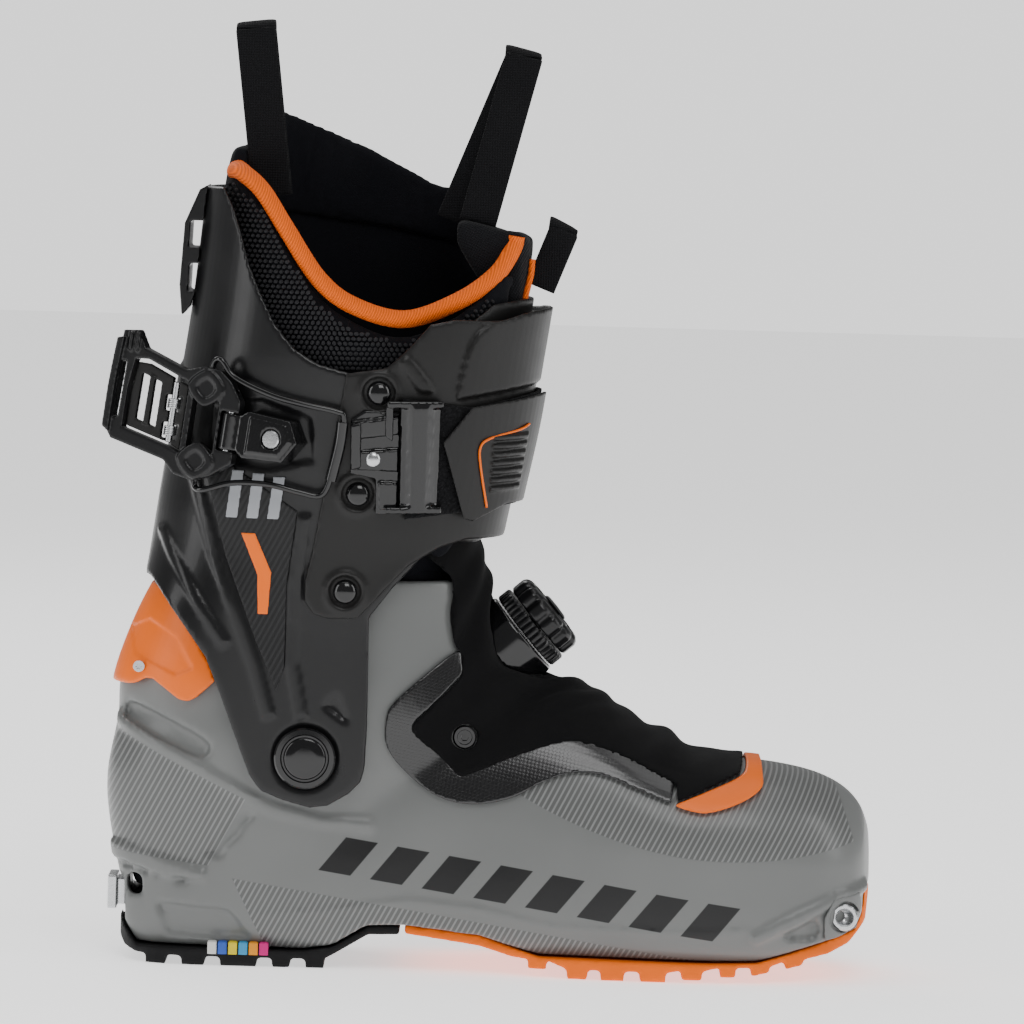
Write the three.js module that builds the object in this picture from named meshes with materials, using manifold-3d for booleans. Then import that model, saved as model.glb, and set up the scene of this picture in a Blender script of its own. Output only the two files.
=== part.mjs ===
// Touring ski boot: a walking boot with a stiff shell, a pivoting cuff, one buckle and one lace dial.
// Millimetres. +X towards the toe, +Z up, -Y the outer side of this right boot.
// The origin is the centre of the heel tread, on the ground.
import * as THREE from "three";
import { ParametricGeometry } from "three/addons/geometries/ParametricGeometry.js";
import { mergeVertices } from "three/addons/utils/BufferGeometryUtils.js";
import Module from "manifold-3d";

const wasm = await Module();
wasm.setup();

// ---- driving sizes ----
const LENGTH_SCALE = 1; // stretches the foot along X in front of the ankle
const WIDTH_SCALE = 1; // stretches the shell and cuff across
const SHELL_WALL = 4;
const CUFF_WALL = 3;
const LINER_WALL = 6.5;
const FIT_GAP = 0.5;
const ANKLE = [24.2, 83];
const SHELL_TOP_R = 88; // shell and its liner end inside this radius about the ankle
const CUFF_INNER_R = 90.5; // the cuff's own liner starts outside it
const RING_POINTS = 20;
const DIAL_CENTRE = [115.2, 0, 136.6];
const DIAL_TILT_DEG = 50; // from straight up, towards the toe
const DIAL_R = 16.35;
const LEVER_HINGE = [-8, -50, 207.8];
const LEVER_TUCK_DEG = 20; // how far the closed lever turns in towards the heel
const HINGE_LEAN_DEG = 7.5;
const HINGE_PIN_R = 1.4;
const BAIL_WIRE_R = 1.1;
const PIVOT_R = 11.8;
const TOE_SOCKET = [233.5, 26]; // side-view place of the toe fittings
const TOE_SOCKET_R = 5.2;
const TOE_SOCKET_FACE = 38.5; // half the width over both toe fittings
const TONGUE_GAP = 0.4; // cuff to tongue, and tongue to liner
const TONGUE_THICK = 3.6;
const STRETCH_FROM = 100; // the foot is stretched in front of here

const reachX = (x) => (x > STRETCH_FROM ? STRETCH_FROM + (x - STRETCH_FROM) * LENGTH_SCALE : x);
const LINER_GROW = -CUFF_WALL - TONGUE_THICK - 2 * TONGUE_GAP; // the liner's skin, from the cuff's

// ---- colours ----
const material = (color, roughness, metalness = 0) =>
  new THREE.MeshStandardMaterial({ color, roughness, metalness });
const GREY = material(0x707271, 0.35);
const BLACK = material(0x1c1c1d, 0.45);
const GLOSS = material(0x0c0c0d, 0.15);
const ORANGE = material(0xf06a08, 0.4);
const RUBBER = material(0x161616, 0.85);
const CLOTH = material(0x1a1b20, 0.95);
const STEEL = material(0xb8babc, 0.3, 1);

// ---- solids ----
function solid(geometry) {
  const g = geometry.clone();
  g.deleteAttribute("normal");
  g.deleteAttribute("uv");
  const merged = mergeVertices(g, 1e-3);
  const index = merged.index.array;
  const kept = [];
  for (let i = 0; i < index.length; i += 3) {
    const [a, b, c] = [index[i], index[i + 1], index[i + 2]];
    if (a !== b && b !== c && c !== a) kept.push(a, b, c);
  }
  const make = (triVerts) =>
    new wasm.Manifold(
      new wasm.Mesh({ numProp: 3, vertProperties: merged.attributes.position.array, triVerts }),
    );
  const body = make(new Uint32Array(kept));
  if (body.volume() > 0) return body;
  return make(new Uint32Array(kept.reverse()));
}

const cut = (a, ...tools) => tools.reduce((s, t) => s.subtract(t), a);
const keep = (a, ...tools) => tools.reduce((s, t) => s.intersect(t), a);
const join = (a, ...more) => more.reduce((s, t) => s.add(t), a);

function largest(body) {
  return body.decompose().sort((a, b) => b.volume() - a.volume())[0];
}

function meshOf(body) {
  const m = body.getMesh();
  const n = m.numProp;
  const positions = new Float32Array(m.numVert * 3);
  for (let i = 0; i < m.numVert; i++)
    positions.set(m.vertProperties.subarray(i * n, i * n + 3), i * 3);
  return new THREE.BufferGeometry()
    .setAttribute("position", new THREE.BufferAttribute(positions, 3))
    .setIndex(new THREE.BufferAttribute(m.triVerts, 1));
}

// A side-view outline of [x, z] points, carried across from y0 to y1.
function sideCut(points, y0 = -120, y1 = 120) {
  const shape = new THREE.Shape(points.map(([x, z]) => new THREE.Vector2(reachX(x), z)));
  const g = new THREE.ExtrudeGeometry(shape, { depth: y1 - y0, bevelEnabled: false });
  g.rotateX(Math.PI / 2);
  g.translate(0, y1, 0);
  return solid(g);
}

// A plan-view outline of [x, y] points, raised from z0 to z1.
function planCut(points, z0, z1) {
  const shape = new THREE.Shape(points.map(([x, y]) => new THREE.Vector2(x, y)));
  const g = new THREE.ExtrudeGeometry(shape, { depth: z1 - z0, bevelEnabled: false });
  g.translate(0, 0, z0);
  return solid(g);
}

function box([x0, y0, z0], [x1, y1, z1]) {
  const g = new THREE.BoxGeometry(x1 - x0, y1 - y0, z1 - z0);
  g.translate((x0 + x1) / 2, (y0 + y1) / 2, (z0 + z1) / 2);
  return solid(g);
}

// A cylinder on the Y axis through [x, z].
function crossPin([x, z], r, y0, y1, sides = 24) {
  const g = new THREE.CylinderGeometry(r, r, y1 - y0, sides);
  g.translate(x, (y0 + y1) / 2, z);
  return solid(g);
}

// A turned piece on Z, placed by a matrix. Its profile is a closed loop of [r, z] points.
function turned(profile, matrix, sides = 24) {
  const loop = [...profile, profile[0]].map(([r, z]) => new THREE.Vector2(r, z));
  const g = new THREE.LatheGeometry(loop, sides);
  g.rotateX(Math.PI / 2);
  if (matrix) g.applyMatrix4(matrix);
  return solid(g);
}

// A round wire along a smooth curve.
function wire(points, r, steps = 30, sides = 7) {
  const curve = new THREE.CatmullRomCurve3(points.map((p) => new THREE.Vector3(...p)));
  const ring = new THREE.Shape();
  ring.absarc(0, 0, r, 0, Math.PI * 2);
  const g = new THREE.ExtrudeGeometry(ring, {
    steps,
    curveSegments: sides,
    extrudePath: curve,
    bevelEnabled: false,
  });
  return solid(g);
}

// ---- lofts: each station is a ring from a front point to a back point, with a half-width ----
const station = (front, back, width, frontPower = 2.2, backPower = 2.2) => ({
  front: [reachX(front[0]), front[1]],
  back: [reachX(back[0]), back[1]],
  width: width * WIDTH_SCALE,
  frontPower,
  backPower,
});

const SHELL = [
  station([88, 160], [-26, 160], 36),
  station([91, 150], [-33, 150], 37),
  station([94, 138], [-42, 132], 38.5),
  station([98, 128], [-49.5, 110], 40),
  station([102, 121], [-50.5, 93], 40.5),
  station([107, 116.5], [-54, 72], 40.5, 2.2, 2.3),
  station([113, 113.5], [-53, 54], 39.5, 2.2, 2.4),
  station([118, 112], [-48, 30], 37.5, 2.2, 2.6),
  station([122, 111], [-42, 2], 36.5, 2.2, 3),
  station([127, 110], [10, 2], 38, 2.2, 4),
  station([134, 106.5], [60, 4], 40, 2.2, 5),
  station([146, 99], [110, 4], 44, 2.2, 5),
  station([158, 90], [145, 4], 48, 2.3, 5),
  station([172, 84], [170, 4], 50, 2.4, 5),
  station([190, 82.5], [192, 4], 49, 2.5, 5),
  station([207, 81], [210, 5], 46, 2.5, 5),
  station([222, 78], [226, 8], 41, 2.4, 4.5),
  station([233, 73], [236, 14], 34, 2.3, 4),
  station([240, 66], [241, 20], 25, 2.2, 3.5),
  station([243.5, 57], [243.8, 28], 14, 2, 3),
];

const CUFF = [
  station([118, 330], [-16, 330], 53, 2.3, 2.4),
  station([116, 302], [-20.5, 302], 53.5, 2.3, 2.4),
  station([111, 262], [-24.5, 262], 54, 2.3, 2.4),
  station([107.5, 237], [-27.7, 237], 54, 2.3, 2.4),
  station([103.5, 210], [-32, 210], 52, 2.4, 2.4),
  station([97.5, 180], [-36.5, 180], 49.5, 2.5, 2.5),
  station([93, 155], [-40, 155], 47.5, 2.7, 2.7),
  station([90, 130], [-44, 130], 46.5, 4, 4),
  station([90, 90], [-48, 90], 46.5, 5, 5),
  station([90, 50], [-50, 50], 46.5, 5, 5),
];

function ringPoint(s, angle, grow) {
  const c = Math.cos(angle);
  const q = Math.sin(angle);
  const power = c > 0 ? s.frontPower : s.backPower;
  const along = Math.sign(c) * Math.abs(c) ** (2 / power);
  const out = Math.sign(q) * Math.abs(q) ** (2 / power);
  const run = [s.front[0] - s.back[0], s.front[1] - s.back[1]];
  const length = Math.hypot(...run);
  const reach = (along * (length + 2 * grow)) / 2 / length;
  const nose = grow * Math.min(1, Math.max(0, (s.front[0] - reachX(200)) / (reachX(240) - reachX(200))));
  return [
    (s.front[0] + s.back[0]) / 2 + run[0] * reach + nose,
    out * (s.width + grow),
    (s.front[1] + s.back[1]) / 2 + run[1] * reach,
  ];
}

// The closed body of a loft, grown outwards by grow all round its rings.
function loft(stations, grow = 0) {
  const rows = stations.length + 1;
  const g = new ParametricGeometry(
    (u, v, target) => {
      const row = Math.round(v * rows);
      const s = stations[Math.min(Math.max(row - 1, 0), stations.length - 1)];
      const slice = Math.round(u * RING_POINTS) % RING_POINTS;
      const p = ringPoint(s, (slice / RING_POINTS) * Math.PI * 2, grow);
      const middle = ringPoint(s, Math.PI / 2, grow);
      if (row === 0 || row === rows) target.set(middle[0], 0, middle[2]);
      else target.set(...p);
    },
    RING_POINTS,
    rows,
  );
  return solid(g);
}

// The half-width of a loft of level rings at a side-view point.
function levelWidth(stations, x, z, grow = 0) {
  const i = Math.max(1, stations.findIndex((s) => s.front[1] <= z));
  const [a, b] = [stations[i - 1], stations[i]];
  const t = (z - a.front[1]) / (b.front[1] - a.front[1]);
  const mix = (p, q) => p + (q - p) * t;
  const front = mix(a.front[0], b.front[0]) + grow;
  const back = mix(a.back[0], b.back[0]) - grow;
  const across = (x - (front + back) / 2) / ((front - back) / 2);
  const power = mix(a.backPower, b.backPower);
  const width = mix(a.width, b.width) + grow;
  return width * Math.max(0, 1 - Math.abs(across) ** power) ** (1 / power);
}

const layer = (stations, inner, outer, ...outline) =>
  keep(cut(loft(stations, outer), loft(stations, inner)), ...outline);

const aboutAnkle = (r) => crossPin(ANKLE, r, -130, 130, 48);

// ---- shell ----
const SHELL_SIDE = [
  [-70, 151], [-70, 40], [-50, 40.7], [-51, 33], [-46, 30], [-45, 14], [-40, 6.7], [25, 6.7],
  [36, 9], [49, 17.5], [64, 18], [93, 15], [106, 11], [116, 8], [182, 7.8], [200, 8.2],
  [224, 15.5], [238, 20], [240.6, 26], [240.6, 37.2], [260, 38], [260, 120], [100, 151],
];

function lowerShell() {
  const outer = keep(loft(SHELL), sideCut(SHELL_SIDE), aboutAnkle(260));
  const inner = keep(loft(SHELL, -SHELL_WALL), sideCut([
    [-70, 170], [-70, 22], [30, 18], [50, 25], [110, 20], [190, 17], [225, 24], [260, 40], [260, 170],
  ]));
  const topTrim = cut(
    box([-90, -90, 95], [140, 90, 200]),
    join(aboutAnkle(SHELL_TOP_R), box([70, -91, 90], [141, 91, 150])),
  );
  const throat = sideCut([[60, 152], [74, 132], [92, 122], [99, 136], [96, 160]], -18, 18);
  const slot = sideCut([
    [-46.5, 99], [-41, 101], [-14, 88], [-13, 82], [-18, 80.5], [-45, 92],
  ], -80, -33.5 * WIDTH_SCALE);
  const window = sideCut([[-46, 33], [-41, 33], [-41, 25], [-46, 25]], -60, 60);
  return largest(cut(outer, inner, topTrim, throat, slot, window));
}

function heelLink() {
  const outline = sideCut([
    [-64, 119], [-60, 107], [-45.5, 107.2], [-42, 108.1], [-39, 110.1], [-35.8, 110.2],
    [-31.5, 107.2], [-25.5, 103], [-22, 102.4], [-18.5, 104.1], [-11.3, 110.9], [-14.2, 118.2],
    [-20.3, 128.2], [-26.3, 135.8], [-34, 146], [-50, 146],
  ]);
  return largest(layer(SHELL, 0.4, 3, outline, aboutAnkle(89.6)));
}

function linkScrew(side) {
  const y = side * 26.5 * WIDTH_SCALE;
  return crossPin([-41.5, 114.6], 2.3, Math.min(y, y - side * 1.8), Math.max(y, y - side * 1.8), 14);
}

// ---- soles ----
const FOOTPRINT = [
  [-47.5, 0], [-46, 14], [-40, 25], [-28, 32], [0, 33.5], [30, 32.5], [64, 31], [96, 35], [125, 43],
  [150, 46], [176, 46.5], [200, 43.5], [220, 37], [233, 28], [241, 17], [244.4, 0],
];

function footprint() {
  const near = FOOTPRINT.map(([x, y]) => [reachX(x), -y * WIDTH_SCALE]);
  const far = near.slice(1, -1).map(([x, y]) => [x, -y]).reverse();
  return [...near, ...far];
}

const HEEL_LUGS = [[-36, -28], [-22, -13], [-7, 7], [13, 20], [26, 33]];
const BALL_LUGS = [
  [112, 119, 3], [127, 135, 0], [140, 149, 0], [155, 165, 0], [171, 179, 1], [186, 192, 2.4],
];
const TOE_LUGS = [[198, 205, 3.4], [211, 218, 6]];

function soleHeel() {
  const side = [[-47.3, 16], [-47.3, 8], [-44.8, 5], [-40, 3.4]];
  for (const [a, b] of HEEL_LUGS) side.push([a, 3.4], [a, 0], [b, 0], [b, 3.4]);
  side.push([36, 5], [50, 13.4], [62, 13.6], [62, 17.2], [50, 16.9], [36.4, 8.4], [25, 6.2], [-40, 6.2], [-44.6, 12]);
  return largest(keep(sideCut(side), planCut(footprint(), -2, 60)));
}

function soleFront() {
  const side = [[64, 17.4], [64, 14], [93, 10.5], [106, 7]];
  for (const [a, b, z] of BALL_LUGS) side.push([a, z + 3.6], [a, z], [b, z], [b, z + 3.6]);
  for (const [a, b, z] of TOE_LUGS) side.push([a, z + 2.6], [a, z - 0.6], [b, z + 1], [b, z + 3]);
  side.push([228, 11], [236, 14.5], [243, 22], [244.6, 35.5], [241.8, 35.5], [241.2, 25.8], [238.3, 19.4], [224, 15]);
  side.push([200, 7.7], [182, 7.3], [116, 7.5], [106, 10.5], [93, 14.5]);
  return largest(keep(sideCut(side), planCut(footprint(), -2, 60)));
}

// ---- fittings ----
function toeFitting(side) {
  const face = TOE_SOCKET_FACE * WIDTH_SCALE;
  const centre = [reachX(TOE_SOCKET[0]), TOE_SOCKET[1]];
  const peg = crossPin(centre, TOE_SOCKET_R, side < 0 ? -face : 15, side < 0 ? -15 : face, 20);
  const dimple = new THREE.SphereGeometry(TOE_SOCKET_R * 0.58, 12, 8);
  dimple.translate(centre[0], side * (face + 0.4), centre[1]);
  return largest(cut(peg, solid(dimple), loft(SHELL, 0.3)));
}

function heelFitting() {
  const plate = join(box([-52.5, -9, 18], [-49, 9, 31]), box([-49.5, -7, 19.5], [-46.5, 7, 29.5]));
  const slots = [-4, 4].map((y) => box([-54, y - 1.6, 21], [-47, y + 1.6, 28]));
  return cut(plate, ...slots);
}

// ---- gaiter ----
const TRIM_OUTER = [
  [81.5, 123.6], [77.5, 121.9], [58.1, 105], [54.8, 96.7], [55.4, 87.4], [62.3, 78.1], [74.3, 69.1], [88.3, 66],
  [103.4, 68.8], [115.8, 75.4], [127.7, 79.3], [139.8, 78.4], [151.5, 74.1], [165.4, 69],
];
const TRIM_INNER = [
  [82.6, 115.4], [73.3, 104.3], [65.7, 97], [66.6, 92.4], [75.1, 85.6], [82.3, 78.7], [85.9, 77.3],
  [100.5, 83.5], [118.3, 89.9], [129.9, 91.3], [145.7, 87.1], [159.2, 80.8], [166.4, 77.4],
];
const GAITER_SIDE = [
  [66, 163], [69.3, 160.3], [74.1, 156.9], [77.7, 152.4], [79.2, 144.2], [78.9, 127.8], [84.2, 121],
  ...TRIM_INNER.map(([x, z], i) => (i < 3 ? [x + 1, z - 0.3] : [x + 0.5, z + 0.6])),
  [167.4, 77.6], [167.2, 69.8], [180, 74.8], [191.8, 79.8], [193.6, 83.4], [193.4, 92], [180, 98], [150, 116], [118, 132], [100, 163],
];

function gaiterSlice(inner, outer, outline) {
  return layer(SHELL, inner, outer, sideCut(outline));
}

const dialMatrix = new THREE.Matrix4()
  .makeRotationY(THREE.MathUtils.degToRad(DIAL_TILT_DEG))
  .setPosition(reachX(DIAL_CENTRE[0]), 0, DIAL_CENTRE[2]);
const DIAL_RING_R = DIAL_R + 0.55;
const DIAL_BASE_R = DIAL_R + 1.25;
const DIAL_BORE_R = DIAL_BASE_R + 0.6;
const dialBore = (r, z0, z1) => turned([[0, z0], [r, z0], [r, z1], [0, z1]], dialMatrix, 28);

const frontOf = (degrees) => {
  const a = THREE.MathUtils.degToRad(degrees);
  const tip = [ANKLE[0] + 300 * Math.cos(a), ANKLE[1] + 300 * Math.sin(a)];
  return [[ANKLE[0], ANKLE[1]], [ANKLE[0] + 300, ANKLE[1] - 160], tip];
};

function gaiterFoot() {
  const body = gaiterSlice(0.4, 2.8, GAITER_SIDE);
  const clearOfCuff = join(sideCut(frontOf(43.5)), aboutAnkle(SHELL_TOP_R));
  return largest(cut(keep(body, clearOfCuff), dialBore(DIAL_BORE_R, -30, 12), screwHole(-1), screwHole(1)));
}

function gaiterTop() {
  const half = 36 * WIDTH_SCALE;
  const ring = keep(layer(CUFF, -CUFF_WALL - 4, -CUFF_WALL - 1.2), box([60, -half, 150], [140, half, 166]));
  return largest(cut(ring, sideCut(frontOf(50.5)), aboutAnkle(100)));
}

const screwHole = (side) => crossPin([85.2, 91.3], 5.2, side < 0 ? -70 : 20, side < 0 ? -20 : 70, 16);

function trimBand(side) {
  const outline = sideCut([...TRIM_OUTER, ...TRIM_INNER.slice().reverse()]);
  const half = box([40, side < 0 ? -80 : 4, 40], [230, side < 0 ? -4 : 80, 130]);
  return largest(cut(layer(SHELL, 0.4, 2.2, outline, half), screwHole(side)));
}

function toeGuard() {
  const outline = sideCut([
    [166.8, 68.2], [175.4, 66.2], [182.8, 66.8], [193.4, 70.6], [200.2, 75.4], [200.4, 90], [195.2, 90],
    [194.6, 83], [192.4, 79.2], [180, 74], [169.5, 69.8],
  ]);
  return largest(layer(SHELL, 0.4, 2.2, outline));
}

function gaiterScrew(side) {
  const hw = 43.5 * WIDTH_SCALE; // a little inside the shell, which is cut away
  const head = crossPin([85.2, 91.3], 4.7, side < 0 ? -hw - 2.5 : hw, side < 0 ? -hw : hw + 2.5, 16);
  return cut(head, loft(SHELL, 0.4));
}

// ---- dial ----
function dialBase() {
  return largest(cut(dialBore(DIAL_BASE_R, -24, -10.8), loft(SHELL, 0.4)));
}

function dialRing() {
  const r = DIAL_RING_R;
  const profile = [[3.6, -10.4], [r - 0.3, -10.4], [r, -9.6], [r, -5.4], [r - 0.6, -4.7], [3.6, -4.7]];
  return turned(profile, dialMatrix, 28);
}

function dialHub() {
  const profile = [
    [0, -10], [3.2, -10], [3.2, -4.4], [11, -4.4], [11, -3.2], [3.2, -3.2], [3.2, 4.6], [6, 4.6], [5.4, 5.6], [0, 5.6],
  ];
  return turned(profile, dialMatrix, 20);
}

function dialKnob() {
  const profile = [
    [3.5, -2.8], [11.4, -2.8], [11.4, -4.3], [DIAL_R - 0.75, -4.3], [DIAL_R, -3.4], [DIAL_R, 2.6],
    [DIAL_R - 1.15, 4.2], [3.5, 4.2],
  ];
  const knob = turned(profile, dialMatrix, 36);
  const grips = [];
  for (let i = 0; i < 6; i++) {
    const a = (i / 6) * Math.PI * 2;
    const g = new THREE.CylinderGeometry(4.4, 4.4, 12, 9);
    g.rotateX(Math.PI / 2);
    g.translate(Math.cos(a) * (DIAL_R + 3.05), Math.sin(a) * (DIAL_R + 3.05), 0);
    g.applyMatrix4(dialMatrix);
    grips.push(solid(g));
  }
  return cut(knob, ...grips);
}

// ---- liner ----
function linerFoot() {
  const grow = SHELL_WALL + FIT_GAP;
  const outer = keep(loft(SHELL, -grow), aboutAnkle(260), sideCut([
    [-70, 170], [-70, 28.5], [28, 24.5], [50, 31], [110, 27], [190, 24], [225, 30], [260, 44], [260, 170],
  ]));
  const inner = keep(loft(SHELL, -grow - LINER_WALL), sideCut([
    [-70, 170], [-70, 35], [40, 33], [110, 34], [190, 31], [222, 36], [224, 90], [224, 170],
  ]));
  const topTrim = cut(box([-90, -60, 90], [120, 60, 200]), aboutAnkle(SHELL_TOP_R - 1));
  return largest(cut(outer, inner, topTrim));
}

function bootBoard() {
  const grow = SHELL_WALL + FIT_GAP;
  const slab = keep(loft(SHELL, -grow), sideCut([
    [-70, 22.4], [30, 18.4], [50, 25.4], [110, 20.4], [190, 17.4], [203, 20.1], [203, 23.4],
    [190, 23.6], [110, 26.6], [50, 30.6], [28, 24.1], [-70, 28.1],
  ]));
  return largest(slab);
}

const LINER_FAR_TOP = [[-30, 312], [10, 320], [49, 303], [74, 285], [98, 277], [125, 272]];
const LINER_NEAR_CUT = [
  [-30, 400], [-30, 309], [-12, 307], [2, 296], [11.6, 280], [24.6, 261], [38, 251.5], [58, 246.5], [80, 256], [99, 272], [125, 280], [125, 400],
];

function linerCuff() {
  const outline = sideCut([[-40, 100], ...LINER_FAR_TOP, [125, 150]]);
  const wall = layer(CUFF, LINER_GROW - LINER_WALL, LINER_GROW, outline);
  const nearCut = sideCut(LINER_NEAR_CUT, -80, -8);
  const front = sideCut([...frontOf(56)]);
  return largest(cut(wall, aboutAnkle(CUFF_INNER_R), nearCut, front, box([66, -21, 100], [130, 3, 400])));
}

// The tongue's top is a thick pad that reaches back into the opening.
function linerTongue() {
  const outline = sideCut([[66.5, 150], [66.5, 292], [108, 286], [120, 280], [120, 150]]);
  const middle = box([60, -20.6, 100], [130, 2.6, 400]);
  const wall = layer(CUFF, LINER_GROW - LINER_WALL, LINER_GROW, outline, middle);
  const padSide = sideCut([[76, 291.4], [76, 281], [88, 264], [110, 258], [110, 282.9]]);
  const pad = keep(padSide, middle, loft(CUFF, LINER_GROW));
  return largest(cut(join(wall, pad), aboutAnkle(CUFF_INNER_R), sideCut(frontOf(56))));
}

function linerCollar() {
  const outline = sideCut([
    [-40, 290], [-14, 322], [7, 330], [42, 316], [67, 303], [84, 300], [84, 278], [50, 284], [10, 290],
  ]);
  return largest(layer(CUFF, LINER_GROW - LINER_WALL - 3.5, LINER_GROW - LINER_WALL - 0.5, outline, box([-40, 9, 280], [84, 80, 340])));
}

function linerPiping() {
  const path = [[-6, 303.5], [2, 298], [11.6, 284], [24.6, 265], [38, 255], [58, 250], [80, 259.5], [97, 271]];
  const side = path.map(([x, z]) => [x, -levelWidth(CUFF, x, z, LINER_GROW - LINER_WALL / 2) - 0.2, z + 3.2]);
  const tube = wire(side, 3.6, 20, 5);
  return largest(cut(tube, linerCuff(), linerTongue()));
}

// ---- cuff ----
const CUFF_SIDE = [
  [-60, 300], [-60, 155], [-37.3, 149.2], [-33.3, 144.6], [-23.5, 132], [-15, 120.5], [-10.1, 108.9],
  [-2.5, 89.3], [3, 75.4], [7.4, 69.7], [15.7, 66.4], [26.3, 63.6], [33.3, 64.6], [41.4, 69.5],
  [45.9, 74.3], [47.3, 80.2], [47.7, 96.6], [47.4, 137.5], [56, 149], [66, 160], [72, 172], [78, 200],
  [79, 247], [68, 243.5], [58, 236.5], [50, 231.5], [38, 231.5], [26, 234.5], [16.5, 240], [8, 250], [2.5, 261], [-2.6, 273],
  [-6, 285], [-9, 293], [-13, 300.5],
];

function cuffBody() {
  const wall = layer(CUFF, -CUFF_WALL, 0, sideCut(CUFF_SIDE));
  const pivots = crossPin(ANKLE, 8.4, -90, 90, 28);
  return largest(cut(wall, pivots));
}

function frontFlap() {
  const near = sideCut([
    [36.5, 231.5], [29.5, 190], [25.5, 165.5], [22.5, 150.5], [22.5, 143.5], [26, 138.6], [31.7, 136.9],
    [43, 137.3], [50, 145], [62, 158], [73.8, 165], [84, 168], [126, 168], [126, 254], [90, 252.5], [77.5, 252.8], [68, 250.8],
    [61, 242.6], [52, 234],
  ], -90, 0.1);
  const far = sideCut([[55, 168], [126, 168], [126, 254], [90, 252.5], [60, 244]], 0, 90);
  const flap = layer(CUFF, 0.3, 3, join(near, far));
  return largest(flap);
}

function frontTongue() {
  const outline = sideCut([
    [68, 176], [73, 170], [80, 166.5], [126, 166.5], [126, 260], [104, 260.5], [92, 258.5], [84, 252], [70, 240],
  ]);
  return largest(layer(CUFF, LINER_GROW + TONGUE_GAP, -CUFF_WALL - TONGUE_GAP, outline));
}

function rearSpoiler() {
  const y0 = -15;
  const plate = sideCut([[-23, 299], [-18, 302], [-17, 292], [-21, 286], [-22.6, 262], [-25.5, 254], [-28.9, 250], [-30, 262], [-28.5, 286]], y0, -y0);
  const slots = [[259.5, 270.5], [276.5, 287]].map(([a, b]) =>
    sideCut([[-26.6, a], [-14, a], [-14, b], [-26.2, b]], y0 - 1, 1 - y0));
  return largest(cut(plate, loft(CUFF, 0.4), ...slots));
}

const CUFF_SIDE_Y = 46.5 * WIDTH_SCALE; // the cuff's flat side at the pivot

function pivotDisc(side) {
  const [low, high] = [CUFF_SIDE_Y + 0.4, CUFF_SIDE_Y + 3.1];
  const cap = side < 0 ? crossPin(ANKLE, PIVOT_R, -high, -low) : crossPin(ANKLE, PIVOT_R, low, high);
  const shaft = side < 0 ? crossPin(ANKLE, 8, -low - 0.6, -20) : crossPin(ANKLE, 8, 20, low + 0.6);
  return largest(cut(join(cap, shaft), loft(SHELL, 0.3)));
}

function pivotCap(side) {
  const y = CUFF_SIDE_Y + 3.4;
  const disc = side < 0 ? crossPin(ANKLE, 7.6, -y - 1.2, -y, 20) : crossPin(ANKLE, 7.6, y, y + 1.2, 20);
  return disc;
}

// A domed rivet standing on the outer side of the flap at a side-view point.
function rivet([x, z], r, grow) {
  const g = new THREE.CylinderGeometry(r, r * 0.72, 2.2, 14);
  g.translate(x, -levelWidth(CUFF, x, z, grow) - 1.4, z);
  return cut(solid(g), loft(CUFF, grow + 0.1));
}

// ---- buckle: local x to the free end, y outwards, z along the hinge ----
const lean = THREE.MathUtils.degToRad(HINGE_LEAN_DEG);
const tuck = THREE.MathUtils.degToRad(LEVER_TUCK_DEG);
const hingeAxis = new THREE.Vector3(Math.sin(lean), 0, Math.cos(lean));
const LEVER_FOOT = [LEVER_HINGE[0] + 18, LEVER_HINGE[2]]; // where the buckle's base meets the cuff
const armAxis = new THREE.Vector3(-Math.cos(tuck), Math.sin(tuck), 0);
armAxis.addScaledVector(hingeAxis, -armAxis.dot(hingeAxis)).normalize();
const outAxis = new THREE.Vector3().crossVectors(hingeAxis, armAxis);
const leverMatrix = new THREE.Matrix4().makeBasis(armAxis, outAxis, hingeAxis).setPosition(
  LEVER_HINGE[0],
  LEVER_HINGE[1] - levelWidth(CUFF, ...LEVER_FOOT) + levelWidth(CUFF, ...LEVER_FOOT) / WIDTH_SCALE,
  LEVER_HINGE[2],
);

const atLever = (body) => body.transform([...leverMatrix.elements]);
const leverPin = (x, y, r, z0, z1, sides = 16) => {
  const g = new THREE.CylinderGeometry(r, r, z1 - z0, sides);
  g.rotateX(Math.PI / 2);
  g.translate(x, y, (z0 + z1) / 2);
  return atLever(solid(g));
};
const leverPlate = (points, y0, y1) => atLever(sideCut(points, y0, y1));

function lever() {
  const outline = leverPlate([
    [-4, 7.6], [-4, 12], [1, 19], [6, 22.6], [13, 22.8], [20, 20.5], [38, 26], [42, 32.4], [48, 31.5], [49.4, 14],
    [49.6, -7], [47, -10.4], [24, -15], [19, -19.6], [11, -21], [4, -18], [-4, -12], [-4, -7.6], [3.2, -7.6], [3.2, 7.6],
  ], -2.4, 3);
  const window = leverPlate([[18, 16], [36, 22], [41.5, 21.5], [43, 10], [43, -5.5], [24, -9.4], [18, -11.4]], -9, 9);
  const bore = leverPin(0, 0, HINGE_PIN_R + 0.3, -14, 14);
  const bailBore = leverPin(10.5, 0, BAIL_WIRE_R + 0.4, -25, 25, 12);
  const inner = leverPlate([[4.4, 10.5], [4.4, -9.5], [15.5, -9.5], [15.5, 10.5]], -9, 9);
  return largest(cut(outline, window, inner, bore, bailBore));
}

function leverInset() {
  const plate = leverPlate([[18.8, 14.4], [36, 20.2], [40.7, 20.2], [42.1, 9], [42.1, -4.6], [24, -8.4], [18.8, -10.4]], -1.4, 1);
  const window = leverPlate([[30, 14], [38.6, 16.4], [38.8, -1.5], [30, -3.5]], -9, 9);
  const pinBore = leverPin(24, 0, 1.7, -25, 25);
  const springWells = [[3.9, 9.6], [-6.6, -0.9]].map(([a, b]) => leverPin(24, 0, 3.2, a, b, 12));
  return largest(cut(plate, window, pinBore, ...springWells));
}

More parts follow.
